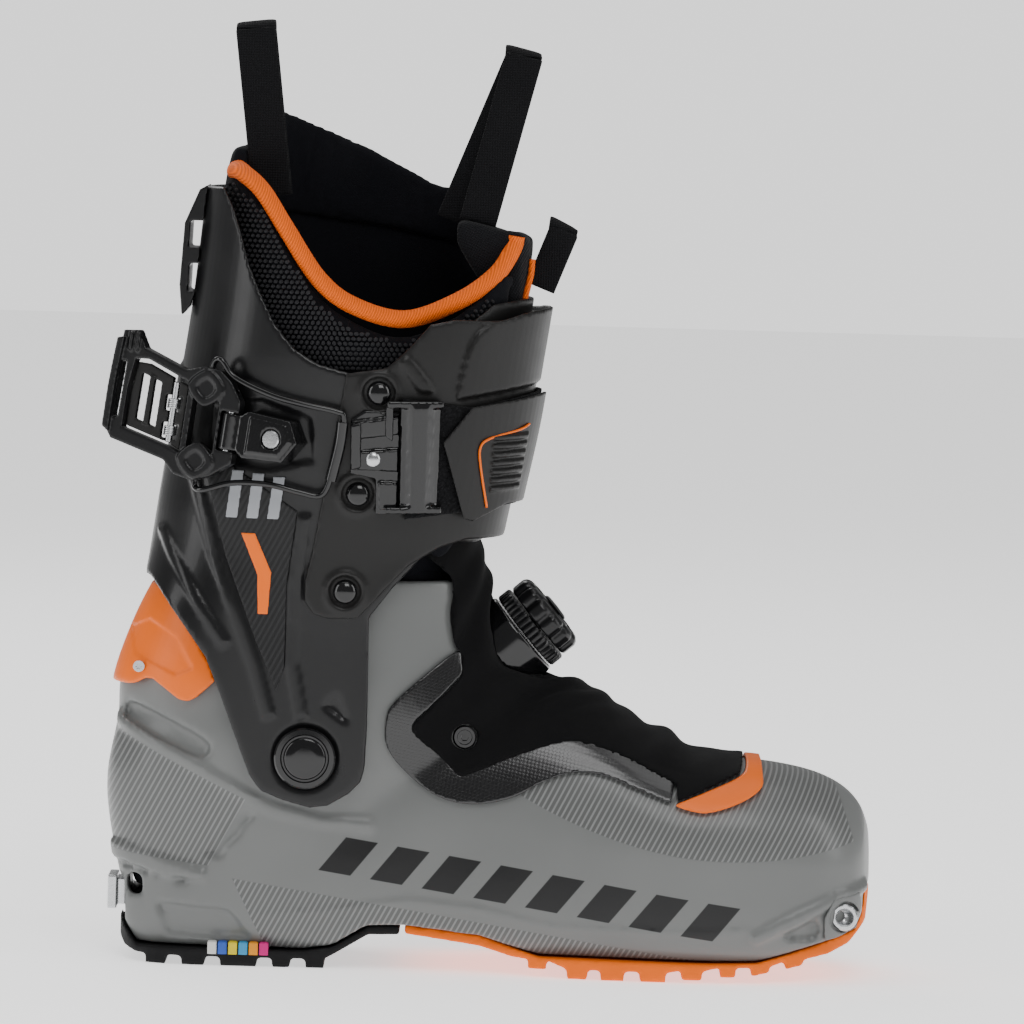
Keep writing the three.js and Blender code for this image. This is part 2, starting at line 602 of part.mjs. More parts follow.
const leverCrossPin = () => leverPin(24, 0, 1.35, -8.2, 15.2);

function spring(z0, z1) {
  return cut(leverPin(24, 0, 2.8, z0, z1, 12), leverPin(24, 0, 1.7, z0 - 1, z1 + 1, 12));
}

function leverBase() {
  const plate = leverPlate([
    [-29, 0], [-25, 8], [-7.5, 9], [-5, 7.1], [3, 7.1], [3, -7.1], [-5, -7.1], [-7.5, -9], [-24, -8],
  ], -12, 2.2);
  const bore = leverPin(0, 0, HINGE_PIN_R + 0.25, -14, 14);
  const clearLever = leverPlate([[3.4, 30], [70, 30], [70, -30], [3.4, -30]], -30, 30);
  const swing = leverPlate([[-4, 20], [8, 20], [8, -20], [-4, -20]], -1.9, 20);
  const clearSwing = cut(swing, leverPin(0, 0, HINGE_PIN_R + 1.5, -20, 20, 28));
  return largest(cut(plate, bore, clearLever, clearSwing, loft(CUFF, 0.4), screwAt()));
}

const screwAt = () => leverPlate([[-22, 3.4], [-15, 3.4], [-15, -3.4], [-22, -3.4]], 1, 8);
const baseScrew = () => leverPlate([[-21.4, 1.5], [-20, 2.9], [-17, 2.9], [-15.6, 1.5], [-15.6, -1.5], [-17, -2.9], [-20, -2.9], [-21.4, -1.5]], 1.3, 3);
const hingePin = () => leverPin(0, 0, HINGE_PIN_R, -12.6, 12.6);

// ---- bail ----
function bailPath() {
  const local = (x, y, z) => {
    const v = new THREE.Vector3(x, y, z).applyMatrix4(leverMatrix);
    return [v.x, v.y, v.z];
  };
  const over = (x, z) => [x, -levelWidth(CUFF, x, z, 0) - 6.4, z];
  return { local, over };
}

function bail() {
  const { local, over } = bailPath();
  const points = [
    local(10.5, 0, 17.5), local(10.5, 0, 24.2), local(7, 1.6, 26.6), over(-6, 228.5), over(8, 222.5), over(20, 219.5),
    over(33, 217), over(36.4, 214.5), over(34.6, 204), over(31, 190), over(27.6, 184.6), over(20, 185.6), over(8, 188.2), over(-6, 188.2),
    local(6, 1.6, -23.6), local(10.5, 0, -22.8), local(10.5, 0, -16),
  ];
  return wire(points, BAIL_WIRE_R, 44, 4);
}

// ---- catch and power strap ----
function catchPlate() {
  const outline = sideCut([
    [38.6, 214], [44, 217.6], [57.6, 217], [57.6, 178], [49, 178], [48.6, 191.6], [38.9, 193.4],
  ], -90, 0);
  const window = sideCut([[43.5, 212.5], [54, 212.5], [54, 204.5], [43.5, 204.5]], -90, 0);
  return largest(cut(layer(CUFF, 3.4, 5.8, outline), window));
}

function strapBar() {
  const foot = sideCut([[57.5, 220], [73, 220.5], [72.4, 178], [58, 180]], -90, 0);
  const roll = sideCut([[60, 220], [71, 220.3], [70.4, 178.4], [60.4, 179.6]], -90, 0);
  return largest(join(layer(CUFF, 6.2, 9, foot), layer(CUFF, 8.5, 11, roll)));
}

function powerStrap() {
  const near = sideCut([[58.2, 222.5], [85, 219.5], [126, 228], [126, 180], [99, 181], [60, 176]], -90, 0.1);
  const far = sideCut([[40, 221], [85, 220], [126, 228], [126, 180], [99, 181], [40, 177]], 0, 90);
  return largest(layer(CUFF, 3.4, 5.6, join(near, far)));
}

function strapTab() {
  const outline = sideCut([[74, 206], [84.8, 219.5], [126, 226.5], [126, 182], [99, 182], [86, 175.5], [82.5, 176.5]], -90, -6);
  return largest(layer(CUFF, 5.9, 7.8, outline));
}

function strapAnchor() {
  const outline = sideCut([[41, 224], [54, 224], [54, 174], [41, 174]], 0, 90);
  return largest(layer(CUFF, 6, 7.6, outline));
}

// ---- pull loops ----
// A folded strip of webbing: outline is its side view, and a slot through it leaves two plies.
function webLoop(outline, y, half, thick = 1.8) {
  const [foot, heel, tip, crown] = outline;
  const slot = [
    [foot[0] - 20, foot[1] + 5], [heel[0] + 20, heel[1] + 5], [tip[0] + 20, tip[1] - 3], [crown[0] - 20, crown[1] - 3],
  ];
  const hole = sideCut(slot, y - half + thick, y + half - thick);
  const wall = layer(CUFF, LINER_GROW - 0.6 - LINER_WALL, LINER_GROW + 0.5);
  return largest(cut(sideCut(outline, y - half, y + half), hole, wall));
}

const rearLoop = () => webLoop([[-1, 298], [12.5, 296], [4.6, 364.7], [-11, 364.7]], 0, 8);
const frontLoop = () => webLoop([[77, 292], [91, 288.5], [108.3, 355.7], [93.4, 358.8]], -8, 6);
const tabLoop = () => webLoop([[104.8, 266], [113, 261.2], [123.9, 285], [112.7, 294]], -8, 5);

function build() {
  const boot = new THREE.Group();
  const groups = {};
  const add = (group, name, body, mat) => {
    if (!groups[group]) {
      groups[group] = new THREE.Group();
      boot.add(groups[group]);
    }
    const mesh = new THREE.Mesh(meshOf(body), mat);
    mesh.name = name;
    groups[group].add(mesh);
  };
  add("shell", "lower_shell", lowerShell(), GREY);
  add("shell", "sole_heel", soleHeel(), RUBBER);
  add("shell", "sole_front", soleFront(), ORANGE);
  add("shell", "toe_fitting_outer", toeFitting(-1), STEEL);
  add("shell", "toe_fitting_inner", toeFitting(1), STEEL);
  add("shell", "heel_fitting", heelFitting(), STEEL);
  add("shell", "heel_link", heelLink(), ORANGE);
  add("shell", "link_screw_outer", cut(linkScrew(-1), loft(SHELL, 3.2)), STEEL);
  add("shell", "link_screw_inner", cut(linkScrew(1), loft(SHELL, 3.2)), STEEL);
  add("shell", "pivot_disc_outer", pivotDisc(-1), GLOSS);
  add("shell", "pivot_disc_inner", pivotDisc(1), GLOSS);
  add("shell", "pivot_cap_outer", pivotCap(-1), GLOSS);
  add("shell", "pivot_cap_inner", pivotCap(1), GLOSS);
  add("shell", "boot_board", bootBoard(), BLACK);
  add("shell", "liner_foot", linerFoot(), CLOTH);
  add("shell", "gaiter", gaiterFoot(), CLOTH);
  add("shell", "gaiter_trim_outer", trimBand(-1), GLOSS);
  add("shell", "gaiter_trim_inner", trimBand(1), GLOSS);
  add("shell", "toe_guard", toeGuard(), ORANGE);
  add("shell", "gaiter_screw_outer", gaiterScrew(-1), STEEL);
  add("shell", "gaiter_screw_inner", gaiterScrew(1), STEEL);
  add("shell", "dial_base", dialBase(), GLOSS);
  add("shell", "dial_ring", dialRing(), BLACK);
  add("dial", "dial_hub", dialHub(), GLOSS);
  add("dial", "dial_knob", dialKnob(), BLACK);
  add("cuff", "cuff", cuffBody(), BLACK);
  add("cuff", "front_flap", frontFlap(), BLACK);
  add("cuff", "front_tongue", frontTongue(), BLACK);
  add("cuff", "rear_spoiler", rearSpoiler(), BLACK);
  add("cuff", "flap_rivet_top", rivet([49.1, 224.2], 4.6, 3), GLOSS);
  add("cuff", "flap_rivet_middle", rivet([42, 185.3], 4.6, 3), GLOSS);
  add("cuff", "flap_rivet_bottom", rivet([38, 147.5], 4.6, 3), GLOSS);
  add("cuff", "catch_plate", catchPlate(), GLOSS);
  add("cuff", "strap_bar", strapBar(), GLOSS);
  add("cuff", "power_strap", powerStrap(), CLOTH);
  add("cuff", "strap_tab", strapTab(), CLOTH);
  add("cuff", "strap_anchor", strapAnchor(), BLACK);
  add("cuff", "lever_base", leverBase(), GLOSS);
  add("cuff", "base_screw", baseScrew(), STEEL);
  add("cuff", "hinge_pin", hingePin(), STEEL);
  add("cuff", "liner_cuff", linerCuff(), CLOTH);
  add("cuff", "liner_tongue", linerTongue(), CLOTH);
  add("cuff", "liner_collar", linerCollar(), CLOTH);
  add("cuff", "liner_piping", linerPiping(), ORANGE);
  add("cuff", "rear_loop", rearLoop(), CLOTH);
  add("cuff", "front_loop", frontLoop(), CLOTH);
  add("cuff", "tab_loop", tabLoop(), CLOTH);
  add("cuff", "gaiter_top", gaiterTop(), CLOTH);
  add("lever", "lever", lever(), BLACK);
  add("lever", "lever_inset", leverInset(), BLACK);
  add("lever", "lever_pin", leverCrossPin(), STEEL);
  add("lever", "spring_upper", spring(4.5, 9), STEEL);
  add("lever", "spring_lower", spring(-6, -1.5), STEEL);
  add("bail", "bail", bail(), GLOSS);
  return boot;
}

export default build();
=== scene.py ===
# %% [markdown]
# # A ski touring boot
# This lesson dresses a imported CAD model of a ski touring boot. The moving bodies, the pivot and the buckle
# come from the CAD model. The fine shapes, the soft goods and the materials are made here, in the same frame.
# Lengths in the text are millimetres. Blender works in metres, so meshes are scaled once, when they are made.

# %% Load the frame
import math

import bmesh
import bpy
import numpy as np
from mathutils import Matrix, Vector


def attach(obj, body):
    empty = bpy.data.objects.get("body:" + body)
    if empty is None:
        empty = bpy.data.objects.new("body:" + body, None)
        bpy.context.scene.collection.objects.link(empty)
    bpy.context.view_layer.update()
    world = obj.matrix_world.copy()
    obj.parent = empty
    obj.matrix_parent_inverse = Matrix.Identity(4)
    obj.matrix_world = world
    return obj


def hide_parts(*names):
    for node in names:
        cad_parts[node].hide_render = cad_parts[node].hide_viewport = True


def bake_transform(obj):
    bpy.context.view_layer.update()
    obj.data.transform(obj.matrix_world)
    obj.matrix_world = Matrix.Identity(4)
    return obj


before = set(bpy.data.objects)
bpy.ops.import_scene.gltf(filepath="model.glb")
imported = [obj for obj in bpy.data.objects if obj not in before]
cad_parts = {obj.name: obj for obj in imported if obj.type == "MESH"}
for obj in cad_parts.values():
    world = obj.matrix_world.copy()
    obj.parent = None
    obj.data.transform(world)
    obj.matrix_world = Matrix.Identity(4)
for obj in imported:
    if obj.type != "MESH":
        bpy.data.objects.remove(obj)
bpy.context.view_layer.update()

MM = 0.001

# %% [markdown]
# ## Shapes made from rings
# The shell and the cuff are lofts. A station is one ring: it runs from a front point to a back point in side
# view, with a half-width and a roundness at each end. The same few stations make the coarse CAD solids, so
# the fine surfaces made here lie where the CAD says.

# %% Stations of the shell and the cuff
def station(front, back, width, front_power=2.2, back_power=2.2):
    return (*front, *back, width, front_power, back_power)


SHELL = [
    station((88, 160), (-26, 160), 36), station((91, 150), (-33, 150), 37),
    station((94, 138), (-42, 132), 38.5), station((98, 128), (-49.5, 110), 40),
    station((102, 121), (-50.5, 93), 40.5), station((107, 116.5), (-54, 72), 40.5, 2.2, 2.3),
    station((113, 113.5), (-53, 54), 39.5, 2.2, 2.4), station((118, 112), (-48, 30), 37.5, 2.2, 2.6),
    station((122, 111), (-42, 2), 36.5, 2.2, 3), station((127, 110), (10, 2), 38, 2.2, 4),
    station((134, 106.5), (60, 4), 40, 2.2, 5), station((146, 99), (110, 4), 44, 2.2, 5),
    station((158, 90), (145, 4), 48, 2.3, 5), station((172, 84), (170, 4), 50, 2.4, 5),
    station((190, 82.5), (192, 4), 49, 2.5, 5), station((207, 81), (210, 5), 46, 2.5, 5),
    station((222, 78), (226, 8), 41, 2.4, 4.5), station((233, 73), (236, 14), 34, 2.3, 4),
    station((240, 66), (241, 20), 25, 2.2, 3.5), station((243.5, 57), (243.8, 28), 14, 2, 3),
]
CUFF = [
    station((118, 330), (-16, 330), 53, 2.3, 2.4), station((116, 302), (-20.5, 302), 53.5, 2.3, 2.4),
    station((111, 262), (-24.5, 262), 54, 2.3, 2.4), station((107.5, 237), (-27.7, 237), 54, 2.3, 2.4),
    station((103.5, 210), (-32, 210), 52, 2.4, 2.4), station((97.5, 180), (-36.5, 180), 49.5, 2.5, 2.5),
    station((93, 155), (-40, 155), 47.5, 2.7, 2.7), station((90, 130), (-44, 130), 46.5, 4, 4),
    station((90, 90), (-48, 90), 46.5, 5, 5), station((90, 50), (-50, 50), 46.5, 5, 5),
]
ANKLE = (24.2, 83.0)
SHELL_SWEEP, LINK_SWEEP = 88, 89.6  # how far the shell and its heel link reach from the ankle, under the cuff
FOOT_SWEEP, SHAFT_SWEEP = 87, 90.5  # where the liner's foot part ends and its shaft begins
LINER_INNER, LINER_OUTER = -13.9, -7.4  # the shaft's wall, from the cuff's outer skin
FOOT_INNER, FOOT_OUTER = -11, -4.5  # the foot part's wall, from the shell's outer skin
GAITER_SCREW = (85.2, 91.3)
HEEL_SCREW = (-41.5, 114.6)
CATCH_RIVET = (47.5, 199.1)


def dense(stations, steps=6):
    """The stations with more between them, on smooth curves."""
    keys = np.array(stations, float)
    rows = []
    for i in range(len(keys) - 1):
        before, a, b, after = keys[max(i - 1, 0)], keys[i], keys[i + 1], keys[min(i + 2, len(keys) - 1)]
        for t in np.arange(steps) / steps:
            lead, follow = (b - before) / 2, (after - a) / 2
            rows.append(
                (2 * t**3 - 3 * t**2 + 1) * a + (t**3 - 2 * t**2 + t) * lead
                + (3 * t**2 - 2 * t**3) * b + (t**3 - t**2) * follow
            )
    rows.append(keys[-1])
    return np.array(rows)


SHELL_ROWS, CUFF_ROWS = dense(SHELL), dense(CUFF)
print("rings:", len(SHELL_ROWS), "in the shell,", len(CUFF_ROWS), "in the cuff")

# %% [markdown]
# Each ring is a superellipse. Growing it by a few millimetres gives an inner or an outer skin, and two skins
# make a wall.

# %% Rings, meshes and lofts
def ring_points(rows, grow=0.0, count=96):
    angle = np.arange(count) / count * 2 * math.pi
    c, q = np.cos(angle), np.sin(angle)
    points = np.zeros((len(rows), count, 3))
    for i, (fx, fz, bx, bz, width, front_power, back_power) in enumerate(rows):
        power = np.where(c > 0, front_power, back_power)
        along = np.sign(c) * np.abs(c) ** (2 / power)
        out = np.sign(q) * np.abs(q) ** (2 / power)
        run = np.array([fx - bx, fz - bz])
        reach = along * (np.hypot(*run) + 2 * grow) / 2 / np.hypot(*run)
        nose = grow * min(1.0, max(0.0, (fx - 200) / 40))
        points[i, :, 0] = (fx + bx) / 2 + run[0] * reach + nose
        points[i, :, 1] = out * (width + grow)
        points[i, :, 2] = (fz + bz) / 2 + run[1] * reach
    return points


def mesh_object(name, points, faces):
    """A new object from points in millimetres."""
    mesh = bpy.data.meshes.new(name)
    mesh.from_pydata((np.asarray(points, float) * MM).tolist(), [], [list(map(int, f)) for f in faces])
    mesh.update()
    made = bpy.data.objects.new(name, mesh)
    bpy.context.scene.collection.objects.link(made)
    return made


def face_out(obj):
    work = bmesh.new()
    work.from_mesh(obj.data)
    bmesh.ops.remove_doubles(work, verts=work.verts, dist=1e-6)
    bmesh.ops.recalc_face_normals(work, faces=work.faces)
    if work.calc_volume(signed=True) < 0:
        bmesh.ops.reverse_faces(work, faces=work.faces)
    work.to_mesh(obj.data)
    work.free()
    return obj


def loft(rows, grow=0.0, count=96):
    points = ring_points(rows, grow, count)
    total = len(rows)
    faces = []
    for i in range(total - 1):
        for j in range(count):
            k = (j + 1) % count
            faces.append((i * count + j, i * count + k, (i + 1) * count + k, (i + 1) * count + j))
    flat = points.reshape(-1, 3)
    ends = [points[0].mean(0), points[-1].mean(0)]
    a, b = len(flat), len(flat) + 1
    for j in range(count):
        k = (j + 1) % count
        faces.append((a, k, j))
        faces.append((b, (total - 1) * count + j, (total - 1) * count + k))
    return face_out(mesh_object("loft", np.vstack([flat, ends]), faces))


def prism(outline, y0=-120, y1=120):
    """A side-view outline of (x, z) points, carried across from y0 to y1."""
    n = len(outline)
    points = [(x, y, z) for y in (y0, y1) for x, z in outline]
    faces = [tuple(range(n)), tuple(range(2 * n - 1, n - 1, -1))]
    faces += [(i, (i + 1) % n, (i + 1) % n + n, i + n) for i in range(n)]
    return face_out(mesh_object("prism", points, faces))


def plan_prism(outline, z0, z1):
    """A plan-view outline of (x, y) points, raised from z0 to z1."""
    n = len(outline)
    points = [(x, y, z) for z in (z0, z1) for x, y in outline]
    faces = [tuple(range(n)), tuple(range(2 * n - 1, n - 1, -1))]
    faces += [(i, (i + 1) % n, (i + 1) % n + n, i + n) for i in range(n)]
    return face_out(mesh_object("plan", points, faces))


def disc(centre, r, y0, y1, sides=96):
    """A cylinder across the boot, on the Y axis through centre (x, z)."""
    angle = np.arange(sides) / sides * 2 * math.pi
    return prism([(centre[0] + r * math.cos(a), centre[1] + r * math.sin(a)) for a in angle], y0, y1)


def smooth_outline(points, steps=6):
    """A closed outline rounded through its points."""
    keys = np.array(points, float)
    n = len(keys)
    made = []
    for i in range(n):
        p0, p1, p2, p3 = keys[i - 1], keys[i], keys[(i + 1) % n], keys[(i + 2) % n]
        for t in np.arange(steps) / steps:
            made.append(tuple(0.5 * (2 * p1 + (p2 - p0) * t + (2 * p0 - 5 * p1 + 4 * p2 - p3) * t**2
                                     + (3 * p1 - p0 - 3 * p2 + p3) * t**3)))
    return made


def scaled(matrix):
    """A matrix in millimetres, made ready for a mesh in metres."""
    made = matrix.copy()
    made.translation = matrix.translation * MM
    return made


def facing(centre, y, side):
    """The place of a turned piece that faces out of the boot's side at (x, z)."""
    return Matrix.Translation((centre[0], y, centre[1])) @ Matrix.Rotation(math.pi / 2 * -side, 4, "X")


def box_between(low, high):
    (x0, y0, z0), (x1, y1, z1) = low, high
    return prism([(x0, z0), (x1, z0), (x1, z1), (x0, z1)], y0, y1)


def turned(profile, matrix, sides=48):
    """A profile of (r, z) points turned about Z, then placed by a matrix in millimetres."""
    points, faces = [], []
    n = len(profile)
    for j in range(sides):
        a = j / sides * 2 * math.pi
        for r, z in profile:
            points.append(matrix @ Vector((r * math.cos(a), r * math.sin(a), z)))
    for j in range(sides):
        k = (j + 1) % sides
        for i in range(n):
            m = (i + 1) % n
            if profile[i][0] == 0 and profile[m][0] == 0:
                continue
            faces.append((j * n + i, k * n + i, k * n + m, j * n + m))
    made = mesh_object("turned", [tuple(p) for p in points], faces)
    work = bmesh.new()
    work.from_mesh(made.data)
    bmesh.ops.remove_doubles(work, verts=work.verts, dist=1e-6)
    bmesh.ops.dissolve_degenerate(work, edges=work.edges, dist=1e-7)
    work.to_mesh(made.data)
    work.free()
    return face_out(made)


# %% [markdown]
# Booleans join, cut and keep. A voxel remesh with a little smoothing then rounds every cut edge, as a mould
# rounds the edges of plastic.

# %% Cutting and softening
def apply(obj):
    """The object's mesh with its modifiers applied."""
    bpy.context.view_layer.update()
    seen = obj.evaluated_get(bpy.context.evaluated_depsgraph_get())
    made = bpy.data.meshes.new_from_object(seen)
    obj.modifiers.clear()
    old = obj.data
    obj.data = made
    bpy.data.meshes.remove(old)
    return obj


def boolean(obj, tools, operation):
    for tool in tools:
        m = obj.modifiers.new("b", "BOOLEAN")
        m.operation, m.object = operation, tool
        m.solver = SOLVER
    apply(obj)
    for tool in tools:
        bpy.data.objects.remove(tool)
    return obj


SOLVERS = [e.identifier for e in bpy.types.BooleanModifier.bl_rna.properties["solver"].enum_items]
SOLVER = "MANIFOLD" if "MANIFOLD" in SOLVERS else "EXACT"
print("boolean solver:", SOLVER)


def cut(obj, *tools):
    return boolean(obj, tools, "DIFFERENCE")


def keep(obj, *tools):
    return boolean(obj, tools, "INTERSECT")


def join(obj, *tools):
    return boolean(obj, tools, "UNION")


def wall(rows, inner, outer, *outlines):
    """The wall between two skins of a loft, kept inside the given solids."""
    return keep(cut(loft(rows, outer), loft(rows, inner)), *outlines)


def soften(obj, voxel=1.0, rounds=3, most=150000):
    m = obj.modifiers.new("r", "REMESH")
    m.mode, m.voxel_size = "VOXEL", voxel * MM
    if rounds:
        s = obj.modifiers.new("s", "SMOOTH")
        s.factor, s.iterations = 0.5, rounds
    apply(obj)
    triangles = sum(len(p.vertices) - 2 for p in obj.data.polygons)
    if triangles > most:
        d = obj.modifiers.new("d", "DECIMATE")
        d.ratio = most / triangles
        apply(obj)
    return obj


def smooth_shade(obj, degrees=None):
    for p in obj.data.polygons:
        p.use_smooth = True
    if degrees:
        work = bmesh.new()
        work.from_mesh(obj.data)
        limit = math.radians(degrees)
        for e in work.edges:
            e.smooth = len(e.link_faces) == 2 and e.calc_face_angle(0) < limit
        work.to_mesh(obj.data)
        work.free()
    return obj


def finish(obj, name, body, material, replaces=(), degrees=None):
    """Names a piece, gives it its material, and lets it ride on its CAD body."""
    obj.name = obj.data.name = name
    obj.data.materials.clear()
    obj.data.materials.append(material)
    smooth_shade(obj, degrees)
    if isinstance(body, str):
        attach(obj, body)
    if replaces:
        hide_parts(*replaces)
    print(f"{name}: {len(obj.data.polygons)} faces")
    return obj


# %% [markdown]
# Wires, cords of stitching and bindings are tubes along a line of points. A tube can be flattened, and its
# ends are closed.

# %% Tubes and half-widths
def curve_points(points, steps=8):
    keys = np.array(points, float)
    made = []
    for i in range(len(keys) - 1):
        p0, p1, p2, p3 = keys[max(i - 1, 0)], keys[i], keys[i + 1], keys[min(i + 2, len(keys) - 1)]
        for t in np.arange(steps) / steps:
            made.append(0.5 * (2 * p1 + (p2 - p0) * t + (2 * p0 - 5 * p1 + 4 * p2 - p3) * t**2
                               + (3 * p1 - p0 - 3 * p2 + p3) * t**3))
    made.append(keys[-1])
    return np.array(made)


def tube(points, r, flat=None, up=(0, 0, 1), sides=12):
    """A tube of radius r. flat is its other radius, across the direction up."""
    line = np.array(points, float)
    tangent = np.gradient(line, axis=0)
    tangent /= np.linalg.norm(tangent, axis=1)[:, None]
    side = np.cross(tangent[0], up)
    if np.linalg.norm(side) < 1e-3:
        side = np.cross(tangent[0], (1, 0, 0))
    rings = []
    for p, t in zip(line, tangent):
        if flat is not None:
            side = np.cross(t, up)
        side = side - t * side.dot(t)
        side /= np.linalg.norm(side)
        other = np.cross(side, t)
        angle = np.arange(sides) / sides * 2 * math.pi
        rings.append(p + np.outer(np.cos(angle) * (flat or r), side) + np.outer(np.sin(angle) * r, other))
    n = len(rings)
    faces = [(i * sides + j, i * sides + (j + 1) % sides, (i + 1) * sides + (j + 1) % sides,
              (i + 1) * sides + j)
             for i in range(n - 1) for j in range(sides)]
    faces += [tuple(range(sides)), tuple(range((n - 1) * sides, n * sides))]
    return face_out(mesh_object("tube", np.vstack(rings), faces))


def half_width(rows, x, z, grow=0.0):
    """The half-width of a loft at a side-view point."""
    front, back = rows[:, 0:2], rows[:, 2:4]
    run = front - back
    side = run[:, 0] * (z - back[:, 1]) - run[:, 1] * (x - back[:, 0])
    flips = np.nonzero(np.sign(side[:-1]) != np.sign(side[1:]))[0]
    if not len(flips):
        return 0.0
    best = 0.0
    for i in flips:
        t = side[i] / (side[i] - side[i + 1])
        row = rows[i] + (rows[i + 1] - rows[i]) * t
        span = row[0:2] - row[2:4]
        length = np.hypot(*span)
        middle = (row[0:2] + row[2:4]) / 2
        s = (np.array([x, z]) - middle).dot(span / length) / (length / 2 + grow)
        power = row[5] if s > 0 else row[6]
        if abs(s) < 1:
            best = max(best, (row[4] + grow) * (1 - abs(s) ** power) ** (1 / power))
    return best


print("half-width of the cuff at its buckle:", round(half_width(CUFF_ROWS, -8, 208), 1))

# %% [markdown]
# ## Materials
# Every material is a small node tree on object coordinates. Object coordinates are the boot's own frame, so a
# stripe or a weave has its true size.

# %% Node helpers
def material(name, color, roughness, metallic=0.0, coat=0.0, sheen=0.0, specular=0.5):
    made = bpy.data.materials.new(name)
    made.use_nodes = True
    shader = made.node_tree.nodes["Principled BSDF"]
    shader.inputs["Base Color"].default_value = (*color, 1)
    shader.inputs["Roughness"].default_value = roughness
    shader.inputs["Metallic"].default_value = metallic
    shader.inputs["Specular IOR Level"].default_value = specular
    shader.inputs["Coat Weight"].default_value = coat
    shader.inputs["Coat Roughness"].default_value = 0.12
    shader.inputs["Sheen Weight"].default_value = sheen
    return made


class Tree:
    """Short ways to add nodes to one material."""

    def __init__(self, made):
        self.tree = made.node_tree
        self.shader = self.tree.nodes["Principled BSDF"]
        self.where = self.tree.nodes.new("ShaderNodeTexCoord").outputs["Object"]

    def put(self, value, socket):
        if isinstance(value, bpy.types.NodeSocket):
            self.tree.links.new(value, socket)
        else:
            socket.default_value = value

    def math(self, operation, a, b=0.0, c=0.0, clamp=False):
        node = self.tree.nodes.new("ShaderNodeMath")
        node.operation, node.use_clamp = operation, clamp
        for value, socket in zip((a, b, c), node.inputs):
            self.put(value, socket)
        return node.outputs[0]

    def along(self, x=0.0, y=0.0, z=0.0, offset=0.0):
        """x*X + y*Y + z*Z + offset, with X, Y and Z in millimetres."""
        node = self.tree.nodes.new("ShaderNodeVectorMath")
        node.operation = "DOT_PRODUCT"
        self.put(self.where, node.inputs[0])
        node.inputs[1].default_value = (x / MM, y / MM, z / MM)
        return self.math("ADD", node.outputs["Value"], offset)

    def above(self, value, limit, soft=0.3):
        """0 below the limit and 1 above it."""
        return self.math("MULTIPLY_ADD", value, 1 / soft, 0.5 - limit / soft, clamp=True)

    def stripes(self, value, pitch, share=0.5, soft=0.08):
        """1 in the stripes and 0 between them."""
        part = self.math("FRACT", self.math("DIVIDE", value, pitch))
        bend = self.math("ABSOLUTE", self.math("SUBTRACT", part, 0.5))
        return self.math("SUBTRACT", 1.0, self.above(bend, share / 2, soft))

    def noise(self, scale, detail=2.0, stretch=(1, 1, 1)):
        node = self.tree.nodes.new("ShaderNodeTexNoise")
        node.inputs["Scale"].default_value = scale
        node.inputs["Detail"].default_value = detail
        mapped = self.tree.nodes.new("ShaderNodeMapping")
        mapped.inputs["Scale"].default_value = stretch
        self.put(self.where, mapped.inputs["Vector"])
        self.put(mapped.outputs[0], node.inputs["Vector"])
        return node.outputs[0]

    def cells(self, scale):
        node = self.tree.nodes.new("ShaderNodeTexVoronoi")
        node.inputs["Scale"].default_value = scale
        self.put(self.where, node.inputs["Vector"])
        return node.outputs["Distance"]

    def mix(self, factor, a, b):
        node = self.tree.nodes.new("ShaderNodeMix")
        node.data_type = "RGBA"
        self.put(factor, node.inputs["Factor"])
        for value, socket in ((a, node.inputs["A"]), (b, node.inputs["B"])):
            self.put((*value, 1) if isinstance(value, tuple) else value, socket)
        return node.outputs["Result"]

    def color(self, value):
        self.put(value, self.shader.inputs["Base Color"])

    def rough(self, low, high, value):
        node = self.tree.nodes.new("ShaderNodeMapRange")
        node.inputs["To Min"].default_value = low
        node.inputs["To Max"].default_value = high
        self.put(value, node.inputs["Value"])
        self.put(node.outputs[0], self.shader.inputs["Roughness"])

    def bump(self, height, depth, strength=1.0):
        """depth is in millimetres for a height of 1."""
        node = self.tree.nodes.new("ShaderNodeBump")
        node.inputs["Strength"].default_value = strength
        node.inputs["Distance"].default_value = depth * MM
        self.put(height, node.inputs["Height"])
        self.put(node.outputs[0], self.shader.inputs["Normal"])


# %% [markdown]
# The grey shell has fine diagonal lines on the heel, the toe box and along its lower edge, and a plain
# slanted bar graphic on its side.

# %% Shell plastic
GREY = (0.148, 0.153, 0.15)
GREY_GROUND = (0.095, 0.098, 0.096)
GREY_LINE = (0.2, 0.205, 0.203)
BAR_BLACK = (0.0025, 0.0025, 0.003)
BAR_FROM, BAR_TO, BAR_PITCH, BAR_SHARE = -5, 172, 22.3, 0.62
BAR_LOW, BAR_HIGH = 43, 57.5
FINE_LINES = {"x": 0.89, "z": -0.46}  # fine moulded lines step along this direction


